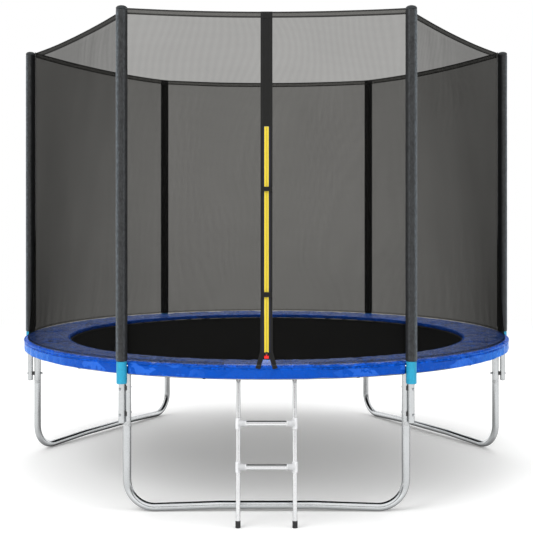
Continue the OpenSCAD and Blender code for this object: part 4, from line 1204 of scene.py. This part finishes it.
def build_net_hem():
    """Folded lower hem of the net with an elastic cord in its fold."""
    b = Build()
    half = 0.0008 + 0.75 * (0.5 - 0.032 / CHORD0 - 0.0008)
    spans = [(0, 0.0006, half), (0, 1 - half, 0.9994)] + [(i, 0.0006, 0.9994) for i in range(1, 6)]
    for i, s0, s1 in spans:
        net_panel(b, i, s0, s1, 60, 5, NET_LOW - 0.0014, NET_LOW + 0.0120, NET_R + 0.0010, 0, 0, sag1=0.0)
        S = np.linspace(s0, s1, 110)
        P = net_pts(i, S, np.zeros_like(S), NET_R + 0.0010, NET_LOW - 0.0008, NET_TOP)
        arc = S * (UP[i + 1] - UP[i]) * NET_R
        P[:, 2] += 0.0005 * np.sin(arc / 0.012)
        path_tube(b, P, 0.0009, 6, mat=1, u=np.repeat(arc, 6), v=np.tile(np.arange(6) * 0.001, 110))
    o = b.obj("net_lower_hem", [M_HEM, M_WEB])
    return own(o, "frame", "black_net", "net_hem")


# ----------------------------------------------------- entry: zip and tapes
ZIP_Y0 = NET_R
ZIP_Y1 = NET_R * math.cos(LEG_HALF)
ZIP_TILT = math.atan2(ZIP_Y0 - ZIP_Y1, NET_TOP - NET_LOW)
ZIP_LEN = (NET_TOP - SAG - NET_LOW) / math.cos(ZIP_TILT)
_a, _b = lo_hi("zip_tape")
TAPE_LOW, TAPE_HIGH = float(_a[2]) + 0.0001, float(_b[2]) - 0.0001
KEEPERS = [(1.120, 1.149), (1.654, 1.680)]


def zip_at(z):
    return (z - NET_LOW) / math.cos(ZIP_TILT)


def on_zip(P):
    """Local x across, -y outwards, z up the zip, to the row frame."""
    P = np.asarray(P, float)
    c, s = math.cos(ZIP_TILT), math.sin(ZIP_TILT)
    x, y, z = P[..., 0], P[..., 1], P[..., 2]
    return np.stack([x, y * c + z * s - ZIP_Y0, -y * s + z * c + NET_LOW], -1)


def zip_sheet(b, xs, zs, y_of, t, mat=0, v_of=None, tilt=0.0, at=(0.0, 0.0)):
    X, Z = np.meshgrid(xs, zs, indexing="ij")
    Y = y_of(X, Z)
    L = np.stack([X, Y, Z], -1)
    if tilt:
        c, s = math.cos(tilt), math.sin(tilt)
        L = np.stack([X * c + Z * s + at[0], Y, -X * s + Z * c + at[1]], -1)
    P = on_zip(L)
    n = on_zip(np.array([0.0, -1, 0])) - on_zip(np.array([0.0, 0, 0]))
    N = np.broadcast_to(n, P.shape)
    v = X if v_of is None else v_of(X)
    strip(b, P, N, t, mat, Z, v)


def build_zip_bands():
    b = Build()
    z0, z1 = zip_at(TAPE_LOW - 0.002), ZIP_LEN - BAND_H + 0.001
    zs = np.linspace(z0, z1, 150)

    def wavy(X, Z):
        n = fbm(np.stack([X * 14, Z * 5, X * 0], -1).reshape(-1, 3), 1.0, 3, 81).reshape(X.shape)
        return -0.0006 - 0.0016 * n - 0.0006 * np.cos((np.abs(X) - 0.0215) / 0.0095 * math.pi)

    for s in (-1, 1):
        zip_sheet(b, s * np.linspace(0.0180, 0.0308, 9), zs, wavy, 0.0013, 0)
        # narrow dark edge beside the tape
        zip_sheet(b, s * np.linspace(0.0118, 0.0192, 6), zs, lambda X, Z: wavy(X, Z) + 0.0002, 0.0013, 1)
    zc = np.linspace(zip_at(TAPE_HIGH) + 0.001, z1, 70)
    zip_sheet(b, np.linspace(-0.0192, 0.0192, 13), zc,
              lambda X, Z: wavy(X, Z) - 0.0003 - 0.0006 * np.cos(X / 0.0192 * math.pi / 2), 0.0014, 0,
              v_of=lambda X: np.abs(X) * 0.2 + 0.005)
    # its upper end is sewn over the band round the top
    zt = np.linspace(z1 - 0.004, ZIP_LEN - 0.0006, 12)
    zip_sheet(b, np.linspace(-0.0306, 0.0306, 15), zt,
              lambda X, Z: -0.0040 - 0.0002 * np.cos(X / 0.0306 * math.pi / 2) + 0 * Z, 0.0012, 0)
    # keeper loops across the zip
    for za, zb in KEEPERS:
        prof = np.array([(-0.0305, -0.0012), (-0.0300, -0.0050), (-0.0287, -0.0085), (-0.0255, -0.0104),
                         (-0.0160, -0.0111), (0.0, -0.0113), (0.0160, -0.0111), (0.0255, -0.0104),
                         (0.0287, -0.0085), (0.0300, -0.0050), (0.0305, -0.0012)])
        zz = np.linspace(zip_at(za) + 0.002, zip_at(zb) - 0.002, 7)
        tang = np.gradient(prof, axis=0)
        tang /= np.linalg.norm(tang, axis=1)[:, None]
        nn = np.stack([tang[:, 1], -tang[:, 0]], -1)
        P = np.zeros((len(prof), len(zz), 3))
        N = np.zeros_like(P)
        o0 = on_zip(np.zeros(3))
        for j, (x, y) in enumerate(prof):
            for k, z in enumerate(zz):
                P[j, k] = on_zip(np.array([x, y, z]))
                N[j, k] = on_zip(np.array([nn[j, 0], nn[j, 1], 0.0])) - o0
        u = np.broadcast_to(prof[:, :1], P.shape[:2])
        v = np.broadcast_to((zz - zz.mean())[None, :], P.shape[:2])
        strip(b, P, N, 0.0013, 2, u, v)
    o = b.obj("zip_side_bands", [M_ZIPBAND, M_NAVY, M_WEB])
    outward(o)
    sharp(o, 50)
    return own(o, "frame", "black_webbing", "zip_bands")


def build_zip_tape():
    b = Build()
    zs = np.linspace(zip_at(TAPE_LOW), zip_at(TAPE_HIGH), 170)

    def face(X, Z):
        n = fbm(np.stack([X * 10, Z * 4, X * 0 + 3], -1).reshape(-1, 3), 1.0, 2, 91).reshape(X.shape)
        return -0.0007 - 0.0002 * n - 0.0001 * np.cos((np.abs(X) - 0.006) / 0.006 * math.pi / 2)

    for s in (-1, 1):
        zip_sheet(b, s * np.linspace(0.0006, 0.0112, 8), zs, face, 0.0010, 0)
    o = b.obj("zip_tape_halves", [M_TAPE])
    outward(o)
    sharp(o, 50)
    return own(o, "frame", "yellow_tape", "zip_tape")


def build_door_straps():
    """Tie straps that part at the foot of the entry and turn down over the pad's rim."""
    b = Build()
    at_z = zip_at(TAPE_LOW - 0.001)
    run = at_z - 0.0060
    for s in (-1, 1):
        lean = math.tan(math.radians(16))
        path, wide = [], []
        for t in np.linspace(0, 1, 14):
            z = at_z - run * t
            x = s * (0.0205 + (at_z - z) * lean)
            path.append(on_zip(np.array([x, -0.0026 - 0.0006 * math.sin(t * 5 + s), z])))
        x_end = path[-1][0]
        for y, z, dx in ((-NET_R - 0.0075, PAD_TOP + 0.0026, 0.0012), (-NET_R - 0.0150, PAD_TOP + 0.0019, 0.0024),
                         (-PAD_R + 0.0022, PAD_TOP + 0.0010, 0.0036), (-PAD_R - 0.0012, PAD_TOP - 0.0022, 0.0042),
                         (-PAD_R - 0.0019, PAD_TOP - 0.0070, 0.0050), (-PAD_R - 0.0019, PAD_TOP - 0.0130, 0.0060)):
            path.append(np.array([x_end + s * dx, y, z]))
        path = np.array(path)
        tang = np.gradient(path, axis=0)
        tang /= np.linalg.norm(tang, axis=1)[:, None]
        side = np.array([1.0, 0.0, 0.0])
        P = np.zeros((len(path), 9, 3))
        N = np.zeros_like(P)
        w = np.linspace(-0.0123, 0.0123, 9)
        for k in range(len(path)):
            a_ = side - tang[k] * (side @ tang[k])
            a_ /= np.linalg.norm(a_)
            n_ = np.cross(a_, tang[k])
            if n_[1] > 0 or (abs(n_[1]) < 0.2 and n_[2] < 0):
                n_ = -n_
            crown = 0.0005 * (1 - (w / 0.0123) ** 2)
            P[k] = path[k] + a_[None, :] * w[:, None] + n_[None, :] * crown[:, None]
            N[k] = n_
        length = np.concatenate([[0], np.cumsum(np.linalg.norm(np.diff(path, axis=0), axis=1))])
        strip(b, P, N, 0.0012, 0, np.broadcast_to(length[:, None], P.shape[:2]),
              np.broadcast_to(w[None, :], P.shape[:2]))
    o = b.obj("door_tie_straps", [M_WEB])
    outward(o)
    sharp(o, 50)
    return own(o, "frame", "black_webbing", "door_straps")


# ----------------------------------------------------- foam sleeves and cuffs
def tube_piece(b, cx, cy, a, prof_out, bore, seed, rough=0.0006, na=40, flat=None, slit=None):
    """Soft tube: outer profile [(z, r)], with a bore; a is its direction from the centre."""
    prof_out = np.array(prof_out)
    nz = len(prof_out)
    t = np.arange(na) * TAU / na
    T, Zi = np.meshgrid(t, np.arange(nz), indexing="ij")
    Z, R = prof_out[Zi, 0], prof_out[Zi, 1]
    p = np.stack([np.cos(T) * 0.8, np.sin(T) * 0.8, Z * 4 + seed], -1).reshape(-1, 3)
    n = fbm(p, 2.4, 3, 111 + int(seed)).reshape(T.shape) - 0.5
    p2 = np.stack([np.cos(T), np.sin(T), Z * 40 + seed], -1).reshape(-1, 3)
    n2 = fbm(p2, 3.0, 2, 121).reshape(T.shape) - 0.5
    R = R + rough * (1.4 * n + 1.1 * n2) * 1.6
    if slit is not None:
        g = np.exp(-(ang_gap(T, slit - a) / 0.07) ** 2)
        R = R - 0.0016 * g
    ca, sa = math.cos(a), math.sin(a)
    x, y = R * np.cos(T), R * np.sin(T)
    if flat is not None:
        x = np.maximum(x, flat)
    P = np.stack([cx + x * ca - y * sa, cy + x * sa + y * ca, Z], -1)
    # bore, from top to bottom
    zb = np.array([prof_out[-1, 0], prof_out[0, 0]])
    B = np.zeros((na, 2, 3))
    for j, z in enumerate(zb):
        bx, by = bore * np.cos(t), bore * np.sin(t)
        B[:, j] = np.stack([cx + bx * ca - by * sa, cy + bx * sa + by * ca, np.full(na, z)], -1)
    allv = np.concatenate([P, B], axis=1)
    b.add(allv.reshape(-1, 3), grid_faces(na, nz + 2, wu=True, wv=True), 0,
          u=np.broadcast_to(t[:, None] * 0.03, allv.shape[:2]), v=allv[..., 2])


def build_ladder_ends():
    """Plastic sleeves on the ladder rails' upper ends, cut at a slant under the skirt."""
    b = Build()
    top, foot = lo_hi("ladder_rail_left")[1], lo_hi("ladder_rail_left")[0]
    rad = (top[0] - foot[0]) / 2
    y1 = top[1] - rad
    lean = (top[1] - foot[1] - 2 * rad) / (top[2] - foot[2])
    na = 28
    q = np.arange(na) * TAU / na
    for s in (-1, 1):
        cx = s * abs((top[0] + foot[0]) / 2)
        rows = []
        for k, (r, up) in enumerate(((rad + 0.0002, 0.0), (rad + 0.0002, 0.30), (rad + 0.0002, 0.75), (rad, 1.0),
                                     (rad - 0.0011, 1.0), (rad - 0.0012, 0.6), (rad - 0.0012, 0.0))):
            z_lo = top[2] + 0.0031
            front = (1 - np.sin(q)) / 2                      # 1 on the side away from the ring
            z_hi = SKIRT_LOW - 0.0150 + 0.0150 * (1 - front)
            z = z_lo + (z_hi - z_lo) * up
            rows.append(np.stack([cx + r * np.cos(q), y1 + lean * (z - top[2]) + r * np.sin(q), z], -1))
        P = np.array(rows)
        b.add(P.reshape(-1, 3), grid_faces(len(rows), na, wu=True, wv=True), 0)
    o = b.obj("ladder_end_sleeves", [M_LADDER])
    outward(o)
    sharp(o, 40)
    return own(o, "ladder", "ladder_paint")


def build_foam():
    out = []
    for i, s in enumerate(SIDES):
        b = Build()
        r = FOAM_R - 0.0006
        zz = np.concatenate([[FOAM_LOW, FOAM_LOW + 0.0006, FOAM_LOW + 0.003, FOAM_LOW + 0.007],
                             np.linspace(FOAM_LOW + 0.014, FOAM_TOP - 0.014, 150),
                             [FOAM_TOP - 0.007, FOAM_TOP - 0.003, FOAM_TOP - 0.0006, FOAM_TOP]])
        rr = np.full(zz.shape, r)
        for k, dr in enumerate((0.0040, 0.0018, 0.0004, 0.0)):
            rr[k] -= dr
            rr[-1 - k] -= dr
        tube_piece(b, POLE_XY[i][0], POLE_XY[i][1], UP[i], list(zip(zz, rr)), TUBE_R + 0.0006, 3.7 * i + 1,
                   0.00055, 40, None, UP[i] + math.pi)
        o = b.obj("foam_" + s, [M_FOAM])
        outward(o)
        out.append(own(o, "frame", "black_foam", "foam_sleeve_" + s))
    return out


def build_cuffs():
    b = Build()
    flat = -(POLE_R - RING_R - 0.021) + 0.0012
    for i in range(6):
        zz = np.concatenate([[CUFF_LOW, CUFF_LOW + 0.0005, CUFF_LOW + 0.0022, CUFF_LOW + 0.005],
                             np.linspace(CUFF_LOW + 0.010, CUFF_TOP - 0.010, 20),
                             [CUFF_TOP - 0.005, CUFF_TOP - 0.0022, CUFF_TOP - 0.0005, CUFF_TOP]])
        rr = np.full(zz.shape, CUFF_R - 0.0006)
        for k, dr in enumerate((0.0030, 0.0014, 0.0003, 0.0)):
            rr[k] -= dr
            rr[-1 - k] -= dr
        bore = TUBE_R + 0.0004
        tube_piece(b, POLE_XY[i][0], POLE_XY[i][1], UP[i], list(zip(zz, rr)), bore, 7.1 * i + 2, 0.0004, 44,
                   flat)
    o = b.obj("pole_foot_cuffs", [M_CUFF])
    outward(o)
    return own(o, "frame", "cyan_foam", "pole_cuffs")


build_mat()
build_mat_webbing()
build_springs()
build_pad()
build_pad_trim()
build_skirt()
build_pad_straps()
build_net()
build_net_band()
build_net_ties()
build_net_hem()
build_zip_bands()
build_zip_tape()
build_door_straps()
build_foam()
build_cuffs()
build_ladder_ends()


# ---------------------------------------------------------------- the studio
def build_floor():
    me = bpy.data.meshes.new("floor")
    s = 400.0
    me.from_pydata([(-s, -s, 0), (s, -s, 0), (s, s, 0), (-s, s, 0)], [], [(0, 1, 2, 3)])
    m = Mat("pale_floor", (0.9, 0.9, 0.9))
    c = m.mix(m.rng(m.noise(1.2, 2, 0.5), 0.3, 0.7), (0.875, 0.878, 0.878), (0.89, 0.892, 0.892))
    m.set(Base_Color=c, Roughness=0.55, Specular_IOR_Level=0.12)
    lp = m.node("LightPath")
    seen = m.math("MAXIMUM", lp.outputs["Is Camera Ray"], lp.outputs["Is Glossy Ray"])
    m.put(m.b.inputs["Emission Color"], (1.0, 0.995, 0.975))
    m.put(m.b.inputs["Emission Strength"], m.math("MULTIPLY", seen, 0.17))
    # painted dark reflection: glossy rays reaching the floor from the studio's side see near-black, so bright tubes
    # pick up a dark line, never straight on
    geo = m.node("NewGeometry")
    dx, dy, dz = m.xyz(geo.outputs["Incoming"])
    dx, dy = m.math("MULTIPLY", dx, -1.0), m.math("MULTIPLY", dy, -1.0)
    painted_dark_reflection = m.math("MULTIPLY", m.rng(dy, 0.38, 0.50), m.rng(dy, 0.80, 0.88, 1.0, 0.0))
    painted_dark_reflection = m.math("MULTIPLY", painted_dark_reflection, m.math("ADD", m.rng(dx, 0.05, 0.2, 0.0, 0.92), m.rng(dx, -0.05, -0.2, 0.0, 0.45)))
    painted_dark_reflection = m.math("MULTIPLY", painted_dark_reflection, lp.outputs["Is Glossy Ray"])
    black = m.node("BsdfDiffuse")
    black.inputs[0].default_value = (0.02, 0.025, 0.035, 1)
    ms = m.node("MixShader")
    m.put(ms.inputs[0], painted_dark_reflection)
    m.put(ms.inputs[1], m.b.outputs[0])
    m.put(ms.inputs[2], black.outputs[0])
    # far away it meets the white backdrop evenly
    fx, fy, fz = m.xyz()
    dist = m.math("SQRT", m.math("ADD", m.math("MULTIPLY", fx, fx), m.math("MULTIPLY", fy, fy)))
    em = m.node("Emission")
    em.inputs[0].default_value = (1, 1, 1, 1)
    far = m.math("MULTIPLY", m.rng(dist, 3.2, 9.0), lp.outputs["Is Camera Ray"])
    ms2 = m.node("MixShader")
    m.put(ms2.inputs[0], far)
    m.put(ms2.inputs[1], ms.outputs[0])
    m.put(ms2.inputs[2], em.outputs[0])
    m.put(m.out.inputs[0], ms2.outputs[0])
    me.materials.append(m.m)
    o = bpy.data.objects.new("floor", me)
    bpy.context.scene.collection.objects.link(o)
    o.location.z = -0.0006


build_floor()


def build_world():
    w = bpy.data.worlds.new("studio")
    bpy.context.scene.world = w
    w.use_nodes = True
    t = w.node_tree
    t.nodes.clear()

    def node(kind, **kw):
        n = t.nodes.new("ShaderNode" + kind)
        for k, v in kw.items():
            setattr(n, k, v)
        return n

    def mth(op, a, b=None, clamp=False):
        n = node("Math", operation=op, use_clamp=clamp)
        for k, v in ((0, a), (1, b)):
            if v is None:
                continue
            if isinstance(v, bpy.types.NodeSocket):
                t.links.new(v, n.inputs[k])
            else:
                n.inputs[k].default_value = v
        return n.outputs[0]

    def rng(v, a, b, c=0.0, d=1.0):
        n = node("MapRange", interpolation_type="SMOOTHSTEP")
        t.links.new(v, n.inputs["Value"])
        for k, x in zip(("From Min", "From Max", "To Min", "To Max"), (a, b, c, d)):
            n.inputs[k].default_value = x
        return n.outputs[0]

    tc = node("TexCoord")
    sep = node("SeparateXYZ")
    t.links.new(tc.outputs["Generated"], sep.inputs[0])
    x, y, z = sep.outputs
    # darker gaps between the soft boxes, which draw lines along bright tubes
    low_gap = mth("MULTIPLY", rng(z, 0.015, 0.05), rng(z, 0.22, 0.36, 1.0, 0.0))
    low_gap = mth("MULTIPLY", low_gap, rng(y, -0.05, -0.35))
    high_gap = mth("MULTIPLY", rng(z, 0.66, 0.72), rng(z, 0.80, 0.86, 1.0, 0.0))
    high_gap = mth("MULTIPLY", high_gap, rng(y, -0.10, 0.15))
    side = mth("MULTIPLY", rng(x, 0.80, 0.93), rng(y, 0.30, 0.05))
    dark = mth("MAXIMUM", mth("MAXIMUM", mth("MULTIPLY", low_gap, 0.80), mth("MULTIPLY", high_gap, 0.78)),
               mth("MULTIPLY", side, 0.55))
    gloss = mth("MULTIPLY", mth("SUBTRACT", 1.0, dark), 1.02)
    lp = node("LightPath")
    cam = lp.outputs["Is Camera Ray"]
    glo = lp.outputs["Is Glossy Ray"]
    # soft light for diffuse surfaces, a little brighter from the upper left
    dif = mth("ADD", 0.92, mth("ADD", mth("MULTIPLY", z, 0.28), mth("MULTIPLY", x, -0.16)))
    v = mth("ADD", mth("MULTIPLY", glo, gloss), mth("MULTIPLY", mth("SUBTRACT", 1.0, glo), dif))
    v = mth("ADD", mth("MULTIPLY", cam, 1.0), mth("MULTIPLY", mth("SUBTRACT", 1.0, cam), v))
    bg = node("Background")
    bg.inputs["Color"].default_value = (1, 1, 1, 1)
    t.links.new(v, bg.inputs["Strength"])
    out = node("OutputWorld")
    t.links.new(bg.outputs[0], out.inputs[0])


build_world()


def area(name, at, to, size, power, tint=(1, 1, 1)):
    d = bpy.data.lights.new(name, "AREA")
    d.shape = "RECTANGLE"
    d.size, d.size_y = size
    d.energy = power
    d.color = tint
    o = bpy.data.objects.new(name, d)
    bpy.context.scene.collection.objects.link(o)
    o.location = at
    o.rotation_mode = "QUATERNION"
    o.rotation_quaternion = (Vector(to) - Vector(at)).to_track_quat("-Z", "Y")
    o.visible_camera = False
    o.visible_glossy = False
    return o


area("key", (-3.6, -4.6, 5.2), (0, 0, 0.9), (3.4, 3.4), 150)
area("top", (0.4, 0.6, 6.2), (0, 0, 0.5), (5.5, 5.5), 110)
area("fill", (4.6, -3.6, 3.2), (0, 0, 0.9), (3.0, 3.0), 45)

cd = bpy.data.cameras.new("camera")
cd.lens = 66.47
cd.sensor_width = 36
cd.shift_x = 0.0
cd.shift_y = 0.0843 * -1
cam = bpy.data.objects.new("camera", cd)
bpy.context.scene.collection.objects.link(cam)
cam.location = (0.0, -6.4266, 1.5024)
cam.rotation_euler = (math.radians(90), 0, 0)
bpy.context.scene.camera = cam

bpy.context.scene.view_settings.view_transform = "Standard"
bpy.context.scene.view_settings.look = "None"
